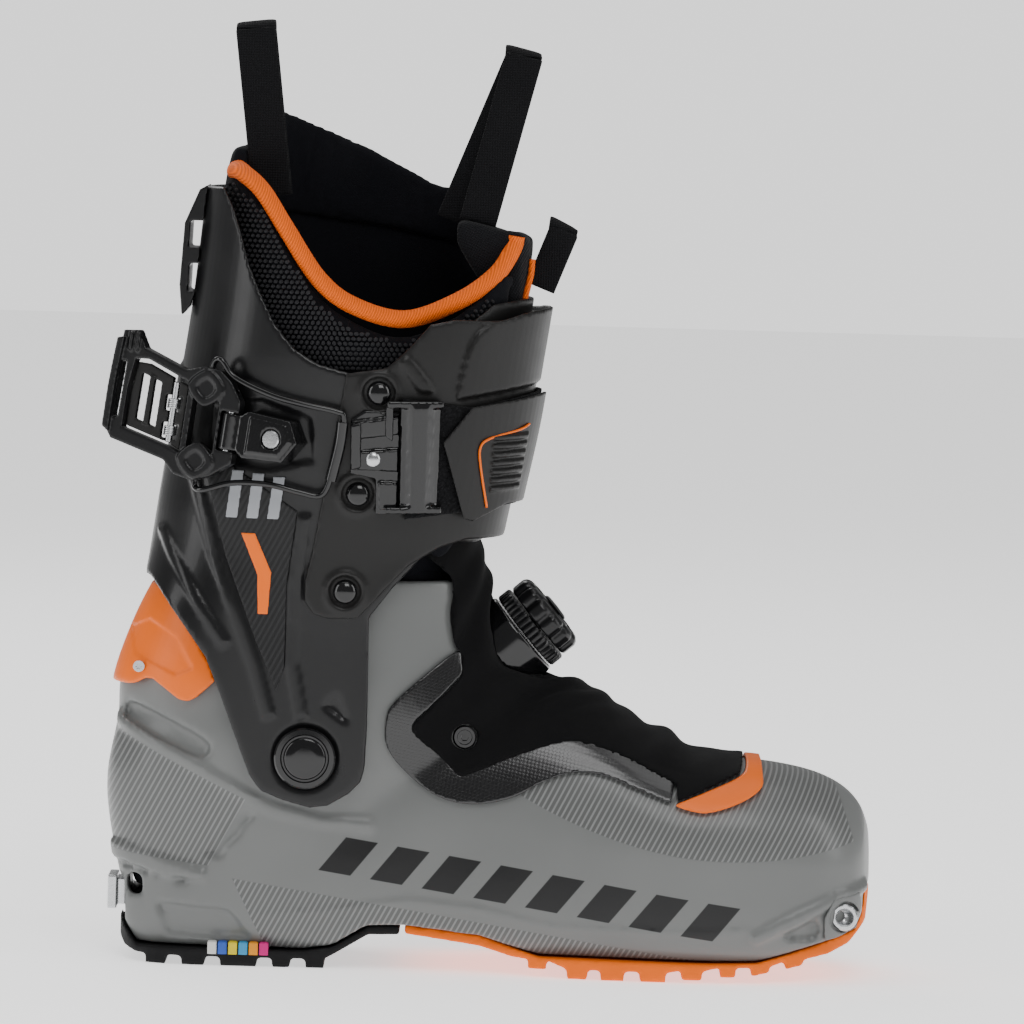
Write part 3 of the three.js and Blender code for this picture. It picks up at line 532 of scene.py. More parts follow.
def shell_plastic():
    made = material("shell_plastic", GREY, 0.34, coat=0.12, specular=0.35)
    t = Tree(made)
    lines = t.stripes(t.along(**FINE_LINES), 2.0, 0.36, 0.1)

    def below(value, limit, soft=0.5):
        return t.math("SUBTRACT", 1.0, t.above(value, limit, soft))

    heel = t.math("MULTIPLY", below(t.along(z=1, x=0.47), 66), below(t.along(x=1, z=-0.53), -33))
    heel = t.math("MULTIPLY", heel, t.above(t.along(z=1, x=0.1), 37.5, 0.5))
    dip = t.math("MULTIPLY", t.math("POWER", t.along(x=1, offset=-190), 2.0), 0.0033)
    toe = t.math("MULTIPLY", t.above(t.along(x=1), 100), t.above(t.math("SUBTRACT", t.along(z=1), dip),
                                                                 47.5, 0.5))
    toe = t.math("MULTIPLY", toe, below(t.along(x=1, z=0.35), 256))
    low = t.math("MULTIPLY", t.above(t.along(x=1, z=0.5), 14), below(t.along(z=1, x=0.144), 33.8, 0.5))
    low = t.math("MULTIPLY", low, below(t.along(x=1), 186))
    region = t.math("ADD", t.math("ADD", heel, toe), low, clamp=True)
    lines = t.math("MULTIPLY", lines, region)
    slant = t.along(x=1, z=-0.8)
    bars = t.stripes(t.math("ADD", slant, -BAR_FROM), BAR_PITCH, BAR_SHARE, 0.02)
    side = t.math("MULTIPLY", t.above(slant, BAR_FROM), below(slant, BAR_TO, 0.3))
    rail = t.along(z=1, x=0.144)
    band = t.math("MULTIPLY", t.above(rail, BAR_LOW), below(rail, BAR_HIGH, 0.3))
    bars = t.math("MULTIPLY", bars, t.math("MULTIPLY", side, band))
    cloud = t.noise(25)
    base = t.mix(cloud, tuple(0.93 * c for c in GREY), tuple(1.06 * c for c in GREY))
    base = t.mix(region, base, GREY_GROUND)
    t.color(t.mix(bars, t.mix(lines, base, GREY_LINE), BAR_BLACK))
    t.rough(0.28, 0.42, t.noise(60, 4))
    t.bump(t.math("SUBTRACT", t.math("MULTIPLY", t.noise(2500, 1), 0.2), lines), 0.12, 0.6)
    return made


def moulded(name, color, low, high, lines=None, grain=0.25, coat=0.0, specular=0.3):
    """Moulded plastic: a fine grain, cloudy gloss and, if asked, fine diagonal lines."""
    made = material(name, color, low, coat=coat, specular=specular)
    t = Tree(made)
    cloud = t.noise(30, 3)
    base = t.mix(cloud, tuple(0.88 * c for c in color), tuple(1.12 * c for c in color))
    height = t.math("MULTIPLY", t.noise(1800, 2), grain)
    if lines:
        marks = t.stripes(t.along(**FINE_LINES), lines, 0.45, 0.12)
        base = t.mix(marks, base, tuple(1.7 * c + 0.004 for c in color))
        height = t.math("ADD", height, marks)
    t.color(base)
    t.rough(low, high, t.noise(90, 4))
    t.bump(height, 0.12, 0.7)
    return made


def metal(name, color, low=0.18, high=0.34):
    made = material(name, color, low, metallic=1.0)
    t = Tree(made)
    t.color(t.mix(t.noise(120, 3), tuple(0.85 * c for c in color), color))
    t.rough(low, high, t.noise(300, 4, (1, 1, 8)))
    t.bump(t.noise(900, 2, (1, 1, 6)), 0.02, 0.5)
    return made


def woven(name, color, pitch, depth=0.25, axis_a=(1, 0, 0), axis_b=(0, 0, 1), sheen=0.3, light=1.6):
    """Plain weave: two sets of threads that pass over and under."""
    made = material(name, color, 0.9, sheen=sheen, specular=0.12)
    made.node_tree.nodes["Principled BSDF"].inputs["Sheen Roughness"].default_value = 0.5
    t = Tree(made)
    a = t.along(*axis_a)
    b = t.along(*axis_b)
    wave_a = t.math("SINE", t.math("MULTIPLY", a, 2 * math.pi / pitch))
    wave_b = t.math("SINE", t.math("MULTIPLY", b, 2 * math.pi / pitch))
    height = t.math("MULTIPLY_ADD", t.math("MULTIPLY", wave_a, wave_b), 0.5, 0.5)
    cloud = t.noise(40, 3)
    # The colour follows the thread height: painted shade in the hollows between the threads and a painted
    # highlight on their crowns, up to light times the colour.
    base = t.mix(height, tuple(0.6 * c for c in color), tuple(light * c for c in color))
    t.color(t.mix(t.math("MULTIPLY", cloud, 0.3), base, tuple(0.7 * c for c in color)))
    t.rough(0.75, 0.95, cloud)
    t.bump(t.math("ADD", height, t.math("MULTIPLY", t.noise(1500, 2), 0.4)), depth, 0.8)
    return made


def fuzzy(name, color):
    """Hook-and-loop fabric: short tangled loops."""
    made = material(name, color, 0.95, sheen=0.05, specular=0.1)
    t = Tree(made)
    loops = t.cells(900)
    t.color(t.mix(loops, tuple(2.2 * c for c in color), tuple(0.5 * c for c in color)))
    t.bump(t.math("ADD", loops, t.noise(700, 4)), 0.5, 0.9)
    return made


def rubber(name, color):
    made = material(name, color, 0.6, specular=0.2)
    t = Tree(made)
    t.color(t.mix(t.noise(35, 4), tuple(0.8 * c for c in color), tuple(1.1 * c for c in color)))
    t.rough(0.5, 0.75, t.noise(80, 3))
    t.bump(t.noise(1400, 2), 0.08, 0.7)
    return made


def ribbed(name, color, pitch):
    """Stretch binding: fine ribs along X."""
    made = material(name, color, 0.7, sheen=0.02, specular=0.2)
    t = Tree(made)
    ribs = t.math("MULTIPLY_ADD", t.math("SINE", t.math("MULTIPLY", t.along(x=1, y=0.3, z=-0.5),
                                                        2 * math.pi / pitch)), 0.5, 0.5)
    # The colour follows the ribs: painted shade in the grooves and a painted highlight on the crowns.
    t.color(t.mix(ribs, tuple(0.72 * c for c in color), tuple(min(1, 1.12 * c) for c in color)))
    t.rough(0.55, 0.8, t.noise(60, 3))
    t.bump(t.math("ADD", ribs, t.math("MULTIPLY", t.noise(1800, 2), 0.3)), 0.28, 0.9)
    return made


ORANGE_COLOR = (0.9, 0.15, 0.0005)
M_SHELL = shell_plastic()
M_CUFF = moulded("cuff_plastic", (0.0055, 0.0055, 0.006), 0.24, 0.36, coat=0.15)
M_FLAP = moulded("flap_plastic", (0.0085, 0.0082, 0.008), 0.34, 0.46)
M_ARM = moulded("arm_plastic", (0.006, 0.006, 0.0065), 0.36, 0.5, lines=2.0)
M_GLOSS = moulded("gloss_black", (0.004, 0.004, 0.0045), 0.07, 0.15, grain=0.05, coat=0.5)
M_ORANGE = moulded("orange_plastic", ORANGE_COLOR, 0.3, 0.44, grain=0.15)
M_ORANGE_SOLE = rubber("orange_rubber", (0.9, 0.155, 0.0005))
M_RUBBER = rubber("black_rubber", (0.006, 0.006, 0.0065))
M_PALE = moulded("pale_print", (0.3, 0.31, 0.33), 0.35, 0.5)
M_STEEL = metal("steel", (0.62, 0.63, 0.64))
M_GAITER = woven("gaiter_cloth", (0.003, 0.003, 0.0034), 0.55, 0.12, (1, 0.5, 0), (0, 0.5, 1), sheen=0.03)
M_KNIT = woven("liner_knit", (0.0045, 0.0048, 0.006), 1.3, 0.3, (0.9, 0.3, 0.3), (-0.3, 0.3, 0.9), sheen=0.06)
M_WEB = woven("webbing", (0.0042, 0.0042, 0.005), 1.4, 0.3, (0.7, 0.4, 0.7), (-0.7, 0.4, 0.7), sheen=0.05)
M_FUZZ = fuzzy("loop_fabric", (0.0045, 0.0045, 0.005))
M_BINDING = ribbed("orange_binding", (0.9, 0.14, 0.0005), 1.1)
print("materials:", len(bpy.data.materials))

# %% [markdown]
# ## Shell
# The shell is the outer loft with its rockered bottom, hollow for the liner. Recesses and ridges are cut and
# added before the edges are softened.

# %% Shell outline and details
SHELL_SIDE = [
    (-70, 151), (-70, 41.2), (-51, 41), (-51.6, 39), (-51, 33), (-46, 30.6), (-45, 14), (-40, 6.9), (25, 6.9),
    (36, 9), (49, 17.5), (64, 18.2), (93, 15.2), (106, 11.2), (116, 8.2), (182, 8), (200, 8.4),
    (224, 15.7), (238, 20), (241, 26), (241.2, 36), (244.3, 38), (262, 42), (262, 120), (100, 151),
]
SHELL_INSIDE = [
    (-70, 170), (-70, 22), (30, 18), (50, 25), (110, 20), (190, 17), (225, 24), (260, 40), (260, 170),
]


def raised(outline, inner, outer, y0, y1, rows=SHELL_ROWS):
    return wall(rows, inner, outer, prism(outline, y0, y1))


def shell_visual():
    body = keep(loft(SHELL_ROWS), prism(SHELL_SIDE))
    hollow = keep(loft(SHELL_ROWS, -4), prism(SHELL_INSIDE))
    top = cut(prism([(-90, 95), (-90, 200), (120, 200), (120, 150), (70, 150), (70, 95)]),
              disc(ANKLE, SHELL_SWEEP, -130, 130))
    throat = prism([(60, 152), (74, 132), (92, 122), (99, 136), (96, 160)], -18, 18)
    body = cut(body, hollow, top, throat)
    for side in (-1, 1):
        y0, y1 = sorted((side * 8, side * 80))
        recesses = [
            (smooth_outline([(-47, 98.5), (-42, 99.8), (-28, 94.5), (-15, 88), (-12.6, 84), (-16.5, 81),
                             (-30, 86), (-46, 92)], 4), 2.6),
            ([(-58, 43), (-17.3, 35.4), (-21.1, 31), (-58, 37.2)], 1.7),
            ([(-33, 24), (-4, 22.4), (6, 9.6), (-28, 10.6)], 1.9),
            ([(-15.5, 42.8), (-1.5, 60.5), (6.5, 60.4), (-8.5, 42)], 1.7),
            ([(206, 17.4), (222.4, 25.6), (224.6, 22), (222, 16.6)], 2.4),
            ([(-44.6, 33.4), (-38.6, 33.4), (-38, 25.2), (-43.6, 25.2)], 4.2),
        ]
        tools = [raised(outline, -depth, 4, y0, y1) for outline, depth in recesses]
        body = cut(body, *tools)
        ridges = [
            ([(-60, 98), (-50, 95.2), (-24, 82.6), (0, 69.2), (12, 63.6), (30, 59), (50, 58.2), (50, 55.4),
              (30, 56),
              (11, 60.4), (-1, 66), (-25, 79.4), (-51, 91.4), (-60, 94)], 1.3),
            ([(197, 18.6), (212, 26.4), (228, 33.6), (243, 38.4), (243, 35.4), (229, 30.4), (213, 22.6),
              (199, 15.6)], 1.5),
            ([(8, 21.4), (30, 23), (64, 28.4), (93, 26), (120, 20.6), (182, 20), (196, 22), (196, 20.4),
              (182, 18.6), (120, 19),
              (93, 24.2), (64, 26.6), (30, 21.4), (8, 19.8)], 0.5),
            ([(-58, 45.6), (-46, 44.4), (-26, 39.4), (-14, 36.6), (-14, 33.6), (-28, 34), (-46, 38),
              (-58, 39)], 2.0),
        ]
        body = join(body, *[raised(outline, -1.5, height, y0, y1) for outline, height in ridges])
    return soften(body, 1.25, 3, 190000)


finish(shell_visual(), "shell", "shell", M_SHELL, ["lower_shell"])

# %% [markdown]
# The orange heel link is a plate wrapped round the heel under the cuff. Its lower edge steps down to the
# screw.

# %% Heel link and its screws
LINK_SIDE = [
    (-64, 119), (-60, 107), (-45.5, 107.2), (-42, 108.1), (-39, 110.1), (-35.8, 110.2), (-31.5, 107.2),
    (-25.5, 103), (-22, 102.4), (-18.5, 104.1), (-11.3, 110.9), (-14.2, 118.2), (-20.3, 128.2),
             (-26.3, 135.8),
    (-34, 146), (-50, 146),
]


def link_visual():
    plate = wall(SHELL_ROWS, 0.4, 3, prism(LINK_SIDE), disc(ANKLE, LINK_SWEEP, -130, 130))
    for side in (-1, 1):
        y0, y1 = sorted((side * 2, side * 80))
        plate = cut(plate, raised([(-44, 119), (-27, 112), (-20, 115), (-27, 127), (-38, 133), (-46, 129)],
                                  2.3, 5, y0, y1))
    return soften(plate, 0.7, 2)


finish(link_visual(), "heel_link_plate", "shell", M_ORANGE, ["heel_link"])


def star_screw(centre, side, y, r=2.2, depth=1.6, points=6):
    """A screw head on the side of the boot, with a star socket."""
    x, z = centre
    head = disc(centre, r, *sorted((y, y - side * depth)), sides=40)
    star = []
    for i in range(points * 8):
        a = i / (points * 8) * 2 * math.pi
        rr = r * (0.46 + 0.1 * math.cos(points * a))
        star.append((x + rr * math.cos(a), z + rr * math.sin(a)))
    return cut(head, prism(star, *sorted((y + side * 0.5, y - side * 0.9))))


for side, tag in ((-1, "outer"), (1, "inner")):
    finish(star_screw(HEEL_SCREW, side, side * 26.5), f"heel_screw_{tag}", "shell", M_STEEL,
           [f"link_screw_{tag}"], 35)

# %% [markdown]
# ## Soles
# Two rubber soles: black under the heel, orange under the ball and round the toe. The lugs stand in three
# rows.

# %% Sole blocks
FOOTPRINT = [
    (-47.5, 0), (-46, 14), (-40, 25), (-28, 32), (0, 33.5), (30, 32.5), (64, 31), (96, 35), (125, 43),
             (150, 46),
    (176, 46.5), (200, 43.5), (220, 37), (233, 28), (241, 17), (244.4, 0),
]
HEEL_LUGS = [(-36, -28), (-22, -13), (-7, 7), (13, 20), (26, 33)]
BALL_LUGS = [(112, 119, 3), (127, 135, 0), (140, 149, 0), (155, 165, 0), (171, 179, 1), (186, 192, 2.4)]
TOE_LUGS = [(198, 205, 3.4), (211, 218, 6)]


def footprint():
    near = [(x, -y) for x, y in FOOTPRINT]
    far = [(x, y) for x, y in FOOTPRINT[1:-1]][::-1]
    return smooth_outline(near + far, 4)


def heel_visual():
    side = [(-47.3, 16), (-47.3, 8), (-44.8, 5), (-40, 3.4)]
    for a, b in HEEL_LUGS:
        side += [(a, 3.4), (a, 0), (b, 0), (b, 3.4)]
    side += [(36, 5), (50, 13.4), (62, 13.6), (62, 17.2), (50, 16.9), (36.4, 8.4), (25, 6.4), (-40, 6.4),
             (-44.6, 12)]
    body = keep(prism(side), plan_prism(footprint(), -2, 60))
    grooves = [plan_prism([(-60, y - 1.6), (34, y - 1.6), (34, y + 1.6), (-60, y + 1.6)], -2,
                          3.2) for y in (-13, 13)]
    return soften(cut(body, *grooves), 0.75, 2)


def ball_visual():
    side = [(64, 17.4), (64, 14), (93, 10.5), (106, 7)]
    for a, b, z in BALL_LUGS:
        side += [(a, z + 3.6), (a, z), (b, z), (b, z + 3.6)]
    for a, b, z in TOE_LUGS:
        side += [(a, z + 2.6), (a, z - 0.6), (b, z + 1), (b, z + 3)]
    side += [(228, 11), (236, 14.5), (243, 22), (244.6, 35.5), (241.8, 35.5), (241.3, 25.8), (238.4, 19.5),
             (224, 15.1),
             (200, 7.8), (182, 7.4), (116, 7.6), (106, 10.7), (93, 14.7)]
    body = keep(prism(side), plan_prism(footprint(), -2, 60))
    grooves = [plan_prism([(108, y - 1.6), (222, y - 1.6), (222, y + 1.6), (108, y + 1.6)], -2, z)
               for y, z in ((-17, 3.2), (17, 3.2))]
    return soften(cut(body, *grooves), 0.85, 2)


finish(heel_visual(), "heel_tread", "shell", M_RUBBER, ["sole_heel"])
finish(ball_visual(), "ball_tread", "shell", M_ORANGE_SOLE, ["sole_front"])

CHIPS = [(0.75, 0.75, 0.72), (0.05, 0.12, 0.5), (0.75, 0.6, 0.02), (0.05, 0.3, 0.55), (0.8, 0.3, 0.02),
         (0.6, 0.02, 0.2)]
for k, color in enumerate(CHIPS):
    chip = keep(plan_prism(footprint(), 4.4, 9.4), box_between((-12 + 4 * k, -60, 0), (-8.5 + 4 * k, 60, 20)))
    chip.data.transform(Matrix.Diagonal((1, 1.012, 1, 1)))
    finish(soften(chip, 0.5, 1), f"heel_chip_{k}", "shell", rubber(f"chip_{k}", color))

# %% [markdown]
# ## Cuff
# The cuff wall is kept inside its side outline. Raised ribs frame a dark panel on each arm, and recesses take
# the buckle and the rivets.

# %% Cuff shell
CUFF_SIDE = [
    (-60, 300), (-60, 155), (-37.3, 149.2), (-33.3, 144.6), (-23.5, 132), (-15, 120.5), (-10.1, 108.9),
             (-2.5, 89.3),
    (3, 75.4), (7.4, 69.7), (15.7, 66.4), (26.3, 63.6), (33.3, 64.6), (41.4, 69.5), (45.9, 74.3),
             (47.3, 80.2),
    (47.7, 96.6), (47.4, 137.5), (56, 149), (66, 160), (72, 172), (78, 200), (79, 247), (68, 243.5),
             (58, 236.5), (50, 231.5), (38, 231.5),
    (26, 234.5), (16.5, 240), (8, 250), (2.5, 261), (-2.6, 273), (-6, 285), (-9, 293), (-13, 300.5),
]


def cuff_visual():
    body = wall(CUFF_ROWS, -3, 0, prism(CUFF_SIDE))
    body = cut(body, disc(ANKLE, 8.4, -90, 90))
    for side in (-1, 1):
        y0, y1 = sorted((side * 4, side * 90))
        ribs = [
            [(-33, 232), (-27, 200), (-14, 158), (2, 118), (8, 98), (11.5, 99), (5.6, 119), (-10, 159),
             (-23.4, 200), (-29.5, 232)],
            [(20, 176), (17, 150), (16.5, 118), (20.5, 98), (24, 99), (20.2, 119), (20.6, 150), (23.6, 176)],
            [(-36, 168), (-31, 158), (-20, 141), (-9, 125), (-7, 127), (-17.6, 143), (-28.4, 160),
             (-33, 169)],
        ]
        body = join(body, *[raised(o, -1.2, 0.9, y0, y1, CUFF_ROWS) for o in ribs])
        seat = raised([(ANKLE[0] + 13 * math.cos(k / 40 * 2 * math.pi),
                        ANKLE[1] + 13 * math.sin(k / 40 * 2 * math.pi))
                       for k in range(40)], -0.9, 3, y0, y1, CUFF_ROWS)
        body = cut(body, seat)
    nick = raised([(30.5, 103), (36, 108.4), (41.4, 95.4)], -1.4, 3, -90, -8, CUFF_ROWS)
    bed = raised([(-14, 218), (4, 221), (24, 214), (25, 197), (6, 193), (-14, 197)], -1, 3, -90, -8,
                 CUFF_ROWS)
    return soften(cut(body, nick, bed), 0.95, 3, 190000)


finish(cuff_visual(), "cuff_shell", "cuff", M_CUFF, ["cuff"])

# %% [markdown]
# The dark panel between the ribs carries a plain chevron and three pale bars, printed as thin raised
# pieces.

# %% Arm panels
def panel(outline, grow, thick, side):
    y0, y1 = sorted((side * 4, side * 90))
    return soften(raised(outline, grow, grow + thick, y0, y1, CUFF_ROWS), 0.4, 1)


ARM_PANEL = [(-20, 203), (19, 178), (15.6, 150), (15.4, 118), (12.6, 108), (4, 128), (-8.4, 160)]
for side, tag in ((-1, "outer"), (1, "inner")):
    finish(panel(ARM_PANEL, 0.0, 0.8, side), f"arm_panel_{tag}", "cuff", M_ARM)
CHEVRON = [(-2.5, 169), (3, 169), (9.6, 154), (8.6, 138), (4.6, 138), (4.2, 153)]
for k, x in enumerate((-6.5, 1.5, 9.5)):
    mark = [(x, 193 - k), (x + 4.6, 193 - k), (x + 2.4, 174.5), (x - 2.2, 174.5)]
    finish(panel(mark, 0.5, 0.6, -1), f"arm_mark_{k}", "cuff", M_PALE)
finish(panel(CHEVRON, 0.5, 0.6, -1), "arm_chevron", "cuff", M_ORANGE)

# %% [markdown]
# The flap is pressed round the front of the cuff and riveted on the outer side. A second layer behind it
# guards the shin. Both are walls on the cuff's own skins, so they lie on it at every point.

# %% Front flap and tongue
FLAP_NEAR = [
    (36.5, 231.5), (29.5, 190), (25.5, 165.5), (22.5, 150.5), (22.5, 143.5), (26, 138.6), (31.7, 136.9),
             (43, 137.3),
    (50, 145), (62, 158), (73.8, 165), (84, 168), (126, 168), (126, 254), (90, 252.5), (77.5, 252.8),
             (68, 250.8),
    (61, 242.6), (52, 234),
]
FLAP_FAR = [(55, 168), (126, 168), (126, 254), (90, 252.5), (60, 244)]
RIVETS = {"flap_rivet_top": (49.1, 224.2), "flap_rivet_middle": (42, 185.3), "flap_rivet_bottom": (38, 147.5)}


def flap_visual():
    body = wall(CUFF_ROWS, 0.3, 3, join(prism(FLAP_NEAR, -90, 0.1), prism(FLAP_FAR, 0, 90)))
    wells = [wall(CUFF_ROWS, 2.1, 6, disc(c, 6.4, -90, -4)) for c in RIVETS.values()]
    rib = raised(smooth_outline([(57, 236), (60, 237.6), (65, 232.5), (69.5, 226), (65, 225.6),
                                 (60.5, 231)], 5), 2, 4.1, -90, -4, CUFF_ROWS)
    shield = raised([(79, 222.6), (80.5, 231), (83, 241), (86.4, 247.6), (91.4, 251.4), (104, 255.6),
                     (126, 259), (126, 231)],
                    2.4, 4.5, -90, 90, CUFF_ROWS)
    rims = [wall(CUFF_ROWS, 2.1, 3.9, cut(disc(c, 8, -90, -4),
                                          disc(c, 6.4, -95, 0))) for c in RIVETS.values()]
    return soften(join(cut(body, *wells), rib, shield, *rims), 0.85, 3)


TONGUE = [
    (68, 176), (73, 170), (78.5, 167), (86, 165.6), (92, 167.2), (126, 167), (126, 260), (104, 260.5),
          (92, 258.5),
    (84, 252), (70, 240),
]
finish(flap_visual(), "cuff_flap", "cuff", M_FLAP, ["front_flap"])
finish(soften(wall(CUFF_ROWS, -7, -3.4, prism(TONGUE)), 0.9, 3), "cuff_tongue", "cuff", M_FLAP,
       ["front_tongue"])


def dome(centre, r, y, side=-1, height=2.0):
    """A domed rivet head, turned on the Y axis."""
    profile = [(0, height), (r * 0.3, height * 0.97), (r * 0.6, height * 0.8), (r * 0.85, height * 0.45),
               (r, 0.0),
               (r, -0.8), (0, -0.8)]
    return turned(profile, facing(centre, y, side))


for name, centre in RIVETS.items():
    y = -half_width(CUFF_ROWS, *centre, 2.6)
    finish(dome(centre, 4.6, y - 0.2, -1), name + "_head", "cuff", M_GLOSS, [name], 40)

# %% [markdown]
# A small slotted bracket stands on the back of the cuff. It is a plate with two slots, cut to the cuff's
# skin.

# %% Spoiler bracket
def spoiler_visual():
    plate = prism([(-23, 299), (-18, 302), (-17, 292), (-21, 286), (-22.6, 262), (-25.5, 254), (-28.9, 250),
                   (-30, 262), (-28.5, 286)], -15, 15)
    slots = [prism([(-26.6, a), (-14, a), (-14, b), (-26.2, b)], -20, 20) for a,
             b in ((259.5, 270.5), (276.5, 287))]
    return soften(cut(plate, loft(CUFF_ROWS, 0.4), *slots), 0.5, 3)


finish(spoiler_visual(), "spoiler_bracket", "cuff", M_CUFF, ["rear_spoiler"])

# %% [markdown]
# ## Ankle pivots and fittings
# Turned and pressed pieces: the pivot discs, the toe sockets, the heel plate.

# %% Pivots and fittings
TOE_SOCKET = (233.5, 26)
for side, tag in ((-1, "outer"), (1, "inner")):
    ring = [(0, -2.6), (11.8, -2.6), (11.8, -0.7), (11.2, 0), (9.4, 0.1), (8.9, -0.5), (8.2, -0.5),
            (7.8, 0.1), (7.2, 0.5),
            (4, 0.8), (0, 0.9)]
    finish(turned(ring, facing(ANKLE, side * 49.9, side), 72), f"pivot_head_{tag}", "shell", M_GLOSS,
           [f"pivot_disc_{tag}", f"pivot_cap_{tag}"], 30)
    x, z = TOE_SOCKET
    face = side * 38.4
    place = facing((x, z), face, side)
    cup = turned([(0, -20), (5.1, -20), (5.1, -0.5), (4.6, 0), (3.6, 0), (3.1, -0.5), (2.7, -1.8),
                  (1.4, -3), (0, -3.4)], place, 64)
    finish(cut(cup, loft(SHELL_ROWS, 0.25)), f"toe_socket_{tag}", "shell", M_STEEL,
           [f"toe_fitting_{tag}"], 40)
    shoe = raised([(226, 17), (231, 18.2), (238.6, 21.4), (240.6, 30), (239.4, 35.5), (229, 33),
                   (225.6, 26)], 0.1, 1.6,
                  *sorted((side * 4, side * 80)))
    shoe = cut(shoe, turned([(0, -30), (6, -30), (6, 4), (0, 4)], place, 64),
               disc((x, z), 6, *sorted((side * 4, side * 80))))
    finish(soften(shoe, 0.45, 3), f"toe_shoe_{tag}", "shell", M_SHELL)


def heel_plate():
    plate = join(box_between((-52.5, -9, 18), (-49, 9, 31)), box_between((-49.6, -7, 19.5), (-45.6, 7, 29.5)))
    slots = [box_between((-54, y - 1.6, 21), (-47, y + 1.6, 28)) for y in (-4, 4)]
    return soften(cut(plate, *slots), 0.35, 2)


finish(heel_plate(), "heel_pin_plate", "shell", M_STEEL, ["heel_fitting"])

# %% [markdown]
# ## Gaiter
# Stretch cloth over the instep. It follows the shell below and the cuff above, so it is blended between them.
# Its glossy welded border and the orange toe guard lie on the shell.

# %% Gaiter and its border
GAITER_ROWS = dense([station((85, 176), (-18, 176), 34.5)] + SHELL)
TRIM_OUTER = [
    (83, 124), (77.5, 121.9), (58.1, 105), (54.8, 96.7), (55.4, 87.4), (62.3, 78.1), (74.3, 69.1), (88.3, 66),
    (103.4, 68.8), (115.8, 75.4), (127.7, 79.3), (139.8, 78.4), (151.5, 74.1), (165.4, 69),
]
TRIM_INNER = [
    (84, 116), (73.3, 104.3), (65.7, 97), (66.6, 92.4), (75.1, 85.6), (82.3, 78.7), (85.9, 77.3),
              (100.5, 83.5),
    (118.3, 89.9), (129.9, 91.3), (145.7, 87.1), (159.2, 80.8), (166.4, 77.4),
]
DIAL_CENTRE = Vector((115.2, 0, 136.6))
DIAL_AXIS = Vector((math.sin(math.radians(50)), 0, math.cos(math.radians(50))))
DIAL_M = Matrix.Translation(DIAL_CENTRE) @ Matrix.Rotation(math.radians(50), 4, "Y")


def rounded_line(points, steps=5):
    return [tuple(p) for p in curve_points(points, steps)]


def gaiter_visual():
    outline = ([(64, 172), (66, 163), (69.3, 160.3), (74.1, 156.9), (77.7, 152.4), (79.2, 144.2),
                (78.9, 127.8), (83, 122)]
               + rounded_line([(x - 0.6, z - 0.8) for x, z in TRIM_INNER], 3)
               + [(167.2, 77), (167.4, 69.6), (180, 74.9), (191.9, 79.9), (194, 84), (193.6, 96),
                  (180, 102), (150, 120), (118, 140), (104, 172)])
    cloth = wall(GAITER_ROWS, 0.3, 2.6, prism(outline))
    cloth = cut(cloth, *[disc(GAITER_SCREW, 4.9, *sorted((s * 20, s * 70))) for s in (-1, 1)])
    cloth = cut(cloth, turned([(0, -30), (17.9, -30), (17.9, 12), (0, 12)], DIAL_M))
    soften(cloth, 0.95, 3)
    work = bmesh.new()
    work.from_mesh(cloth.data)
    work.normal_update()
    for v in work.verts:
        x, y, z = v.co / MM
        edge = min(1.0, max(0.0, (z - (96 - (x - 80) * 0.16)) / 8))
        away = (Vector((x, y, z)) - DIAL_CENTRE)
        away -= DIAL_AXIS * away.dot(DIAL_AXIS)
        ring = away.length
        wave = math.sin(ring * 0.55 + 1.6 * math.sin(y * 0.09 + x * 0.03))
        folds = wave * math.exp(-((ring - 26) / 14) ** 2) * 0.9
        cross = math.sin((x * 0.32 - z * 0.22) + 0.9 * math.sin(y * 0.13)) * 0.45
        bulge = 3.4 * math.exp(-((x - 163) / 7) ** 2) * max(0.0, 1 - (y / 34) ** 2)
        v.co += v.normal * (edge * (folds + cross) + bulge) * MM
    work.to_mesh(cloth.data)
    work.free()
    return cloth


gaiter = finish(gaiter_visual(), "gaiter_cloth", None, M_GAITER, ["gaiter", "gaiter_top"])
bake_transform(gaiter)


def tpu():
    made = material("welded_border", (0.005, 0.005, 0.0055), 0.2, coat=0.4)
    t = Tree(made)
    twill = t.stripes(t.math("ADD", t.along(x=1, z=0.8), t.math("MULTIPLY", t.stripes(t.along(z=1, x=-0.6),
                                                                                      2.4, 0.5), 1.2)),
                      2.4, 0.5, 0.2)
    t.color(t.mix(twill, (0.0035, 0.0035, 0.004), (0.008, 0.008, 0.0085)))
    t.rough(0.16, 0.3, t.noise(50, 3))
    t.bump(twill, 0.05, 0.5)
    return made


M_BORDER = tpu()
for side, tag in ((-1, "outer"), (1, "inner")):
    y0, y1 = sorted((side * 4, side * 80))
    outline = rounded_line(TRIM_OUTER) + rounded_line(TRIM_INNER)[::-1]
    band = cut(raised(outline, 0.3, 2.0, y0, y1), disc(GAITER_SCREW, 4.9, *sorted((side * 20, side * 70))))
    finish(soften(band, 0.55, 3), f"gaiter_border_{tag}", "shell", M_BORDER,
           [f"gaiter_trim_{tag}"])
GUARD = (rounded_line([(166.6, 68.2), (175.4, 66.0), (182.8, 66.6), (193.4, 70.4), (200.2, 75.2),
                       (200.8, 80), (200, 92)], 4)
         + rounded_line([(194.9, 92), (194.6, 83), (192.2, 79), (180, 73.9), (168, 69.2)], 4))
finish(soften(wall(SHELL_ROWS, 0.3, 2.2, prism(GUARD)), 0.6, 3), "toe_guard_edge", "shell", M_ORANGE,
       ["toe_guard"])


def hex_screw(centre, y, side, r=4.6):
    body = turned([(0, -2), (r, -2), (r, 0.2), (r - 0.6, 0.9), (r - 1.6, 0.9), (r - 1.9, 0.5), (0, 0.5)],
                  facing(centre, y, side), 48)
    x, z = centre
    hexagon = [(x + 1.7 * math.cos(k * math.pi / 3), z + 1.7 * math.sin(k * math.pi / 3)) for k in range(6)]
    return cut(body, prism(hexagon, *sorted((y + side * 2, y - side * 1.2))))


